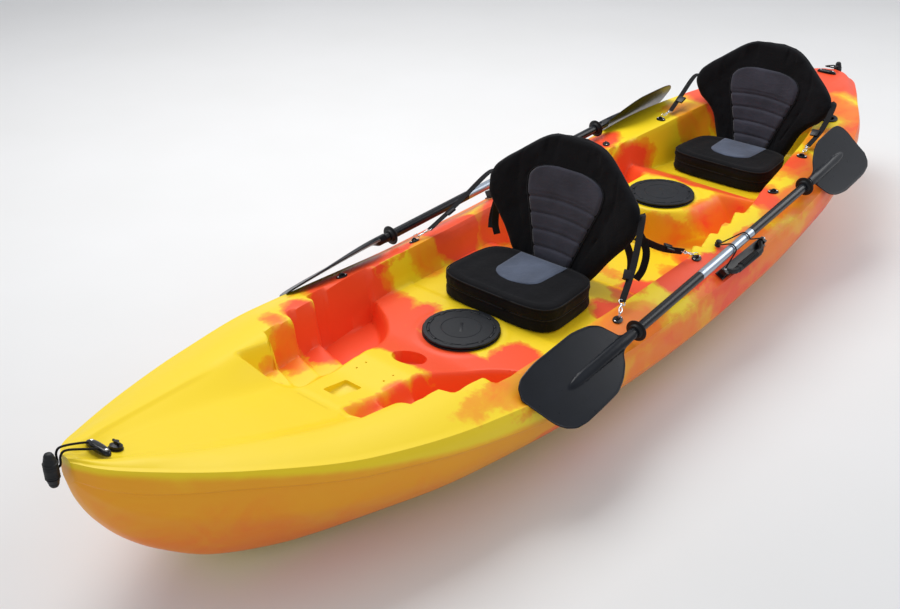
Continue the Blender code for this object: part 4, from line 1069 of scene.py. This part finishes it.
# ---------------------------------------------------------------- hatches
def make_hatch(name, centre):
    x, y, z = centre
    at = (x, y, 0)
    seat = z + GAP
    rim = [(0.0822, seat - 0.030), (0.0865, seat - 0.030), (0.0865, seat), (0.1132, seat),
           (0.1140, seat + 0.0008), (0.1140, seat + 0.0028), (0.1128, seat + 0.0042),
           (0.1110, seat + RIM_THICK), (0.0822, seat + RIM_THICK)]
    add(f"{name}_hatch_ring", lathe(rim, at, n=96, caps=False), "slate", "hull", 35, (f"{name}_hatch_rim",))
    low = seat + RIM_THICK + GAP + SEAL_THICK + GAP
    top = low + LID_THICK

    def lobes(t, k):
        return 1.0 - (0.018 * max(0.0, cos(16 * t)) ** 8 if 3 <= k <= 6 else 0.0)

    lid = [(0.0700, low), (0.0700, low - 0.018), (0.0780, low - 0.018), (0.0780, low + 0.0004),
           (0.1128, low + 0.0004), (0.1132, low + 0.0034), (0.1112, top), (0.1010, top + 0.0002),
           (0.0990, top - 0.0018), (0.0940, top - 0.0020), (0.0920, top - 0.0002),
           (0.0860, top), (0.0600, top + 0.0004), (0.0590, top - 0.0006), (0.0570, top - 0.0006),
           (0.0560, top + 0.0004), (0.0200, top + 0.0005), (0.0020, top + 0.0005)]
    body = f"{name}_hatch_cover"
    add(f"{name}_hatch_lid", lathe(lid, at, n=128, wobble=lobes), "slate", body, 32, (body,))
    bar = (Vector((0.8, 0.6, 0)), Vector((-0.6, 0.8, 0)), UP)
    marks = [box_at(Vector((x, y, top + 0.0003)), (0.052, 0.009, 0.0012), bar, 0.0004)]
    for k, t in enumerate(around(12)):
        way = Vector((cos(t), sin(t), 0))
        spot = Vector((x, y, top - 0.0008)) + way * 0.0965
        long = 0.017 if k % 3 else 0.028
        marks.append(box_at(spot, (0.0060, long, 0.0030), (way, UP.cross(way), UP), 0.0010))
    add(f"{name}_hatch_marks", merged(*marks), "slate", body, 35)


# ---------------------------------------------------------------- paddles
def paddle_axis(side):
    fore, aft = (Vector((end.x, side * end.y, end.z)) for end in (SHAFT_FORE, SHAFT_AFT))
    return fore, aft, (fore - aft).normalized()


# the blade's longer and shorter edge: distance from its root, distance from its middle line
long_edge = curve([(0.000, 0.014), (0.030, 0.016), (0.048, 0.042), (0.072, 0.076), (0.115, 0.096),
                   (0.190, 0.107), (0.320, 0.107), (0.395, 0.098), (0.425, 0.082),
                   (BLADE_LEN, 0.056)])
short_edge = curve([(0.000, 0.014), (0.040, 0.016), (0.062, 0.022), (0.095, 0.051), (0.150, 0.081),
                    (0.195, 0.092), (0.320, 0.095), (0.360, 0.090), (0.387, 0.076),
                    (0.408, 0.050), (0.423, 0.004), (BLADE_LEN, -0.048)])


def blade_mesh(root, axis, across):
    """Spooned blade: thin sheet, thick rim, and a tapering rib over the middle."""
    normal = axis.cross(across)
    if normal.z < 0:
        normal = -normal
    levels = np.concatenate([np.linspace(0, 0.12, 26)[:-1], np.linspace(0.12, 0.40, 40)[:-1],
                             np.linspace(0.40, BLADE_LEN, 18)])
    rings = []
    for s in levels.tolist():
        one = -float(long_edge(s))
        two = float(short_edge(s))
        t = s / BLADE_LEN
        web = float(ease((s - 0.025) / 0.03))
        end = sqrt(max(0.0, 1 - max(0.0, (s - 0.21) / 0.085) ** 2))
        rib = 0.0146 * (1 - 0.66 * float(ease((s - 0.04) / 0.26))) * end ** 0.7
        half = 0.0005 + (0.0170 - 0.0030 * float(ease(s / 0.25))) * end
        top = []
        low = []
        for f in np.linspace(0, 1, 97).tolist():
            y = one + (two - one) * f
            dish = -SPOON * t * t + 0.5 * y * y * web
            edge = min(y - one, two - y)
            rim = 0.0006 * max(0.0, 1 - abs(edge - 0.003) / 0.003)
            round_shaft = sqrt(max(0.0, SHAFT_R ** 2 - y * y)) * (1 - web)
            over = max(HALF_SHEET + rim + rib * sqrt(max(0.0, 1 - (y / half) ** 2)) ** 0.8, round_shaft)
            under = max(HALF_SHEET, round_shaft * 0.95)
            thin = max(0.25, sqrt(min(1.0, max(edge, 0.0) / 0.0022))) if web > 0.5 else 1.0
            middle = root + axis * s + across * y + normal * dish
            top.append(middle + normal * (over * thin))
            low.append(middle - normal * (under * thin))
        rings.append(top + list(reversed(low)))
    return lofted(rings)


def make_paddle(label, side):
    """Two shaft halves on a ferrule with its button, two drip rings and two blades."""
    fore, aft, axis = paddle_axis(side)
    fore_body = f"{label}_paddle_fore"
    aft_body = f"{label}_paddle_aft"
    r = SHAFT_R
    joint = fore - axis * JOINT_BACK
    start = fore + axis * ROOT_OUT
    end = aft - axis * ROOT_OUT
    seam = joint - axis * (FERRULE_LEN + GAP)
    fore_len = (start - joint).length
    aft_len = (seam - end).length
    tube = [(SHAFT_BORE, 0.0002), (r - 0.0008, 0.0), (r, 0.0008), (r, fore_len - 0.0006),
            (r - 0.0006, fore_len), (0.0040, fore_len), (0.0040, 0.114), (SHAFT_BORE, 0.114)]
    add(f"{label}_shaft_fore", lathe(tube, joint, axis, 36, caps=False), "carbon", fore_body, 35,
        (f"{label}_paddle_shaft_fore",))
    alloy = [(0.0123, -FERRULE_LEN - 0.040), (0.0123, -FERRULE_LEN), (r - 0.0004, -FERRULE_LEN),
             (r - 0.0002, -0.0012), (r - 0.0010, -0.0004), (0.0123, -0.0004), (0.0123, 0.108),
             (0.0110, 0.110)]
    button = lathe([(0.0034, 0.0), (0.0034, 0.0012), (0.0022, 0.0021)],
                   joint - axis * 0.020 + UP * (r - 0.0008), n=14)
    add(f"{label}_ferrule", merged(lathe(alloy, joint, axis, 36), button), "alloy", aft_body, 35,
        (f"{label}_paddle_ferrule",))
    tube = [(SHAFT_BORE, 0.0), (r - 0.0006, 0.0), (r, -0.0008), (r, -aft_len), (0.0040, -aft_len),
            (0.0040, -0.044), (SHAFT_BORE, -0.044)]
    add(f"{label}_shaft_aft", lathe(tube, seam, axis, 36, caps=False), "carbon", aft_body, 35,
        (f"{label}_paddle_shaft_aft",))
    ring = [(r + 0.0003, -0.0120), (0.0188, -0.0120), (0.0200, -0.0105), (0.0202, -0.002),
            (0.0212, -0.0006), (0.0300, -0.0002), (0.0314, 0.0010), (0.0314, 0.0022), (0.0300, 0.0030),
            (0.0220, 0.0028), (0.0205, 0.0045), (0.0196, 0.0110), (0.0180, 0.0120), (r + 0.0003, 0.0120)]
    level = Vector((0, side, 0))
    level = (level - axis * level.dot(axis)).normalized()
    up = (UP - axis * UP.dot(axis)).normalized()
    ends = (("fore", fore, start, 1, fore_body), ("aft", aft, end, -1, aft_body))
    for where, spot, root, way, body in ends:
        add(f"{label}_ring_{where}", lathe(ring, spot, axis, 40, caps=False), "rubber", body, 35,
            (f"{label}_paddle_ring_{where}",))
        roll = BLADE_ROLL[where]
        across = (level * cos(roll) - up * sin(roll)) * way
        add(f"{label}_blade_{where}", blade_mesh(root + axis * way * GAP, axis * way, across), "blade",
            body, 30, (f"{label}_paddle_blade_{where}",))


# ---------------------------------------------------------------- handles, bungees and fittings
def handle_frame(tree, side):
    """The carry handle's two feet on the gunwale, its direction, its normal and its way out."""
    middle_x = 0.5 * (HANDLE_X[0] + HANDLE_X[1])
    (fore, _), (rear, _), (_, normal) = (seat_frame(tree, x, side * HANDLE_Y, 0.015)
                                         for x in (*HANDLE_X, middle_x))
    along = (fore - rear).normalized()
    normal = (normal - along * normal.dot(along)).normalized()
    out = normal.cross(along)
    return fore, rear, along, normal, out if out.y * side > 0 else -out


def handle_lugs(tree, side):
    fore, rear, along, normal, _ = handle_frame(tree, side)
    rise = normal * (BASE_THICK + LUG_UP)
    return [foot + along * d + rise for foot, d in ((fore, 0.012), (rear, -0.012))]


def make_side_handle(tree, label, side):
    """Ribs on the grip, and screws in the lugs; the grip and its base are CAD nodes."""
    fore, rear, along, normal, away = handle_frame(tree, side)
    spine = fore.lerp(rear, 0.5) + normal * (BASE_THICK + GRIP_UP) + away * GRIP_OUT
    rib = [(0.0114, -0.0022), (0.0122, -0.0010), (0.0122, 0.0010), (0.0114, 0.0022)]
    ribs = [lathe(rib, spine + along * d, along, 28) for d in np.linspace(-0.045, 0.045, 14).tolist()]
    add(f"{label}_handle_ribs", merged(*ribs), "rubber", f"{label}_handle_grip", 40)
    screw_heads(f"{label}_handle_screws", [p + normal * 0.0003 for p in handle_lugs(tree, side)],
                normal, 0.0045)


def make_end_handle(tree, name, bracket_x, way):
    """Screwed saddle, and a toggle on a cord that runs through both."""
    point, normal = seat_frame(tree, bracket_x, 0, 0.040)
    turn = basis(normal)
    oval = [(0.040 * sin(t), 0.0135 * cos(t) * (1 + 0.25 * sin(t) ** 2)) for t in around(64)]
    levels = ((1.0, GAP), (1.0, 0.0045), (0.95, 0.0075), (0.82, 0.0105), (0.62, 0.0122), (0.3, 0.0126))
    add(f"{name}_saddle", stacked(point, turn, oval, levels), "gloss", "hull", 40, (f"{name}_bracket",))
    screw_heads(f"{name}_screws", [point + turn @ Vector((d, 0, 0.0112)) for d in (-0.026, 0.026)],
                normal, 0.0044)
    low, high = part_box(f"{name}_grip")
    centre = (low + high) / 2
    half = [(0.0150, 0.0150), (0.0122, 0.0290), (0.0112, 0.0300), (0.0112, 0.0330), (0.0104, 0.0360),
            (0.0082, 0.0400), (0.0050, 0.0415)]
    grip = [(radius, -z) for radius, z in reversed(half)] + [(0.0160, 0.0)] + half
    ribs = [lathe([(0.0140, z - 0.0012), (0.0160, z), (0.0140, z + 0.0012)], centre, n=32)
            for z in np.linspace(-0.018, 0.018, 7)]
    add(f"{name}_toggle", merged(lathe(grip, centre, n=32), *ribs), "rubber", name, 40, (f"{name}_grip",))
    over = Vector((way * (HULL_END - 0.005), 0.0096, float(crest_z(way * HULL_END)) + 0.018))
    pivot = point + normal * 0.020 + Vector((way * 0.022, 0, 0))
    leg = [centre + Vector((0, 0.004, 0.002)), centre + Vector((-way * 0.0180, 0.005, 0.004)),
           centre + Vector((-way * 0.0215, 0.008, 0.028)), over, pivot + Vector((0, 0.0168, 0))]
    cord = swept(smooth_route([*leg, pivot, *mirrored(leg)], 72), 0.0026, 12)
    add(f"{name}_line", cord, "cord", name, 60, (f"{name}_cord",))


def make_drain(tree):
    """Wing of the drain plug, to turn it by."""
    point, normal = seat_frame(tree, DRAIN_X, 0, 0.017)
    across = Vector((0, 1, 0))
    frame = (across.cross(normal).normalized(), across, normal)
    wing = box_at(point + normal * 0.0165, (0.005, 0.026, 0.006), frame, 0.0015)
    add("drain_plug_wing", wing, "black", "drain_plug", 40)


def make_rod_holder(tree, label, side):
    point, normal = seat_frame(tree, ROD_HOLDER[0], side * ROD_HOLDER[1], 0.034)
    tube = [(0.0205, -0.150), (0.0233, -0.150), (0.0233, GAP), (0.0336, GAP), (0.0340, 0.0010),
            (0.0338, 0.0030), (0.0320, 0.0043), (0.0280, 0.0045), (0.0230, 0.0040), (0.0208, 0.0025),
            (0.0205, 0.0)]
    add(f"{label}_rod_tube", lathe(tube, point, normal, 48, caps=False), "slate", "hull", 35,
        (f"{label}_rod_holder",))


def make_bungee(tree, label, side):
    """Knob with a flared head, and the elastic that it, the lugs and the shaft hold."""
    point, normal = seat_frame(tree, KNOB[0], side * KNOB[1], 0.010)
    knob = [(0.0098, GAP), (0.0090, 0.0016), (0.0062, 0.0040), (0.0053, 0.0070), (0.0055, 0.0115),
            (0.0085, 0.0138), (0.0100, 0.0150), (0.0102, 0.0162), (0.0085, 0.0190), (0.0040, 0.0198)]
    add(f"{label}_knob", lathe(knob, point, normal, 28), "black", "hull", 40, (f"{label}_bungee_knob",))
    fore, _, axis = paddle_axis(side)
    hoop = SHAFT_R + 0.0036
    crossings = []
    for x in (KNOB[0] + CROSSING_OFF, KNOB[0] - CROSSING_OFF):
        on_shaft = fore + axis * ((x - fore.x) / axis.x)
        turns = [radians(t) for t in np.linspace(-23, 85, 12)]
        crossings.append([on_shaft + Vector((0, side * hoop * sin(t), hoop * cos(t))) for t in turns])
    stem = point + normal * 0.0080
    outward = Vector((0, side, 0))
    outward = (outward - normal * outward.dot(normal)).normalized()
    turns = [radians(t) for t in np.linspace(70, 290, 13)]
    loop = [stem + (outward * cos(t) + Vector((sin(t), 0, 0))) * KNOB_LOOP_R for t in turns]
    lugs = handle_lugs(tree, side)
    route = [lugs[0], *reversed(crossings[0]), *loop, *crossings[1], lugs[1]]
    fine = []
    for a, b in zip(route, route[1:]):
        steps = max(1, round((b - a).length / 0.006))
        fine += [a.lerp(b, k / steps) for k in range(steps)]
    fine.append(route[-1])
    for _ in range(2):
        fine = [fine[0], *[(a + b * 2 + c) / 4 for a, b, c in zip(fine, fine[1:], fine[2:])], fine[-1]]
    piece = add(f"{label}_elastic", swept(fine, 0.0022, 10), "cord", None, 60, (f"{label}_bungee",))
    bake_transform(piece)


# ---------------------------------------------------------------- stage and camera
# each light: place, what it looks at, width and height, watts, colour
LIGHTS = {
    "key": ((-0.6, -2.2, 4.6), (0.0, 0.0, 0.2), (3.4, 3.4), 176, (1.0, 0.99, 0.97)),
    "fill": ((4.6, 2.4, 3.0), (0.2, 0.0, 0.2), (3.0, 3.0), 14, (0.97, 0.98, 1.0)),
    "rear": ((-4.4, 1.6, 3.2), (-0.3, 0.0, 0.2), (3.0, 2.4), 60, (1.0, 1.0, 1.0)),
}
SKY = ((0.93, 0.95, 1.0, 1), 0.54)
FLOOR_REACH = 14
CAMERA_SPOT = (2.7824, 1.8389, 1.9047)
CAMERA_AZIMUTH = radians(40.605)
CAMERA_LIFT = radians(29.225)
CAMERA_LENS = 46.07


def make_light(name, spot, target, size, power, color):
    data = bpy.data.lights.new(name, "AREA")
    data.shape = "RECTANGLE"
    data.size, data.size_y = size
    data.energy = power
    data.color = color
    lamp = bpy.data.objects.new(name, data)
    bpy.context.scene.collection.objects.link(lamp)
    lamp.location = spot
    lamp.rotation_euler = (Vector(target) - Vector(spot)).to_track_quat("-Z", "Y").to_euler()


def make_stage():
    sh = Shader("floor", (0.80, 0.80, 0.80), 0.62)
    cloudy = sh.ramp(sh.noise(1.6, 3.0), [(0.3, (0.79, 0.79, 0.785)), (0.7, (0.81, 0.81, 0.81))])
    sh.feed(sh.bsdf, {"Base Color": cloudy})
    square = [(x * FLOOR_REACH, y * FLOOR_REACH) for x, y in ((-1, -1), (1, -1), (1, 1), (-1, 1))]
    slab = lofted([[Vector((x, y, z)) for x, y in square] for z in (-0.02, -0.0006)])
    new_object("floor", slab, sh.mat, 0)
    scene = bpy.context.scene
    scene.world = bpy.data.worlds.new("studio")
    scene.world.use_nodes = True
    sky = scene.world.node_tree.nodes["Background"].inputs
    sky["Color"].default_value, sky["Strength"].default_value = SKY
    for name, light in LIGHTS.items():
        make_light(name, *light)
    scene.view_settings.view_transform = "Standard"
    scene.view_settings.look = "None"


def make_camera():
    data = bpy.data.cameras.new("camera")
    data.sensor_width = 36.0
    data.lens = CAMERA_LENS
    cam = bpy.data.objects.new("camera", data)
    bpy.context.scene.collection.objects.link(cam)
    flat = cos(CAMERA_LIFT)
    back = Vector((flat * cos(CAMERA_AZIMUTH), flat * sin(CAMERA_AZIMUTH), sin(CAMERA_LIFT)))
    right = Vector((-sin(CAMERA_AZIMUTH), cos(CAMERA_AZIMUTH), 0))
    turn = Matrix((right, back.cross(right), back)).transposed().to_4x4()
    cam.matrix_world = Matrix.Translation(CAMERA_SPOT) @ turn
    bpy.context.scene.camera = cam


# looks of the CAD nodes that no piece replaces, by the end of their names
NODE_LOOKS = {"_handle_base": "black", "_handle_grip": "rubber", "_stern_eye": "black",
              "drain_bushing": "black", "drain_plug": "black", "_hatch_seal": "rubber"}


def dress(nodes):
    """New materials for the CAD nodes in NODE_LOOKS."""
    for name, obj in nodes.items():
        for ending, look in NODE_LOOKS.items():
            if name.endswith(ending):
                obj.data.materials.clear()
                obj.data.materials.append(LOOKS[look][0])


def main():
    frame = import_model()
    make_camera()
    make_looks()
    tree = make_hull(hull_plastic())
    make_hatch("front", FRONT_HATCH)
    make_hatch("middle", MIDDLE_HATCH)
    for side, label in SIDES:
        for i, (x, y) in enumerate(PAD_EYES):
            make_pad_eye(tree, label, i + 1, x, side * y)
        make_rod_holder(tree, label, side)
        make_paddle(label, side)
        make_side_handle(tree, label, side)
        make_bungee(tree, label, side)
    make_end_handle(tree, "bow_handle", 1.775, 1)
    make_end_handle(tree, "stern_handle", -1.770, -1)
    make_drain(tree)
    for name, (foot_x, length, wide, narrow) in SEATS.items():
        make_cushion(name, foot_x, length, wide, narrow)
        make_back(name, foot_x)
    make_bag("front_seat", SEATS["front"][0])
    make_straps(tree, "front", SEATS["front"][0], PAD_EYES[1], PAD_EYES[2])
    make_straps(tree, "rear", SEATS["rear"][0], PAD_EYES[4], STERN_EYE)
    make_tails("front", SEATS["front"][0])
    dress(frame["nodes"])
    make_stage()


main()
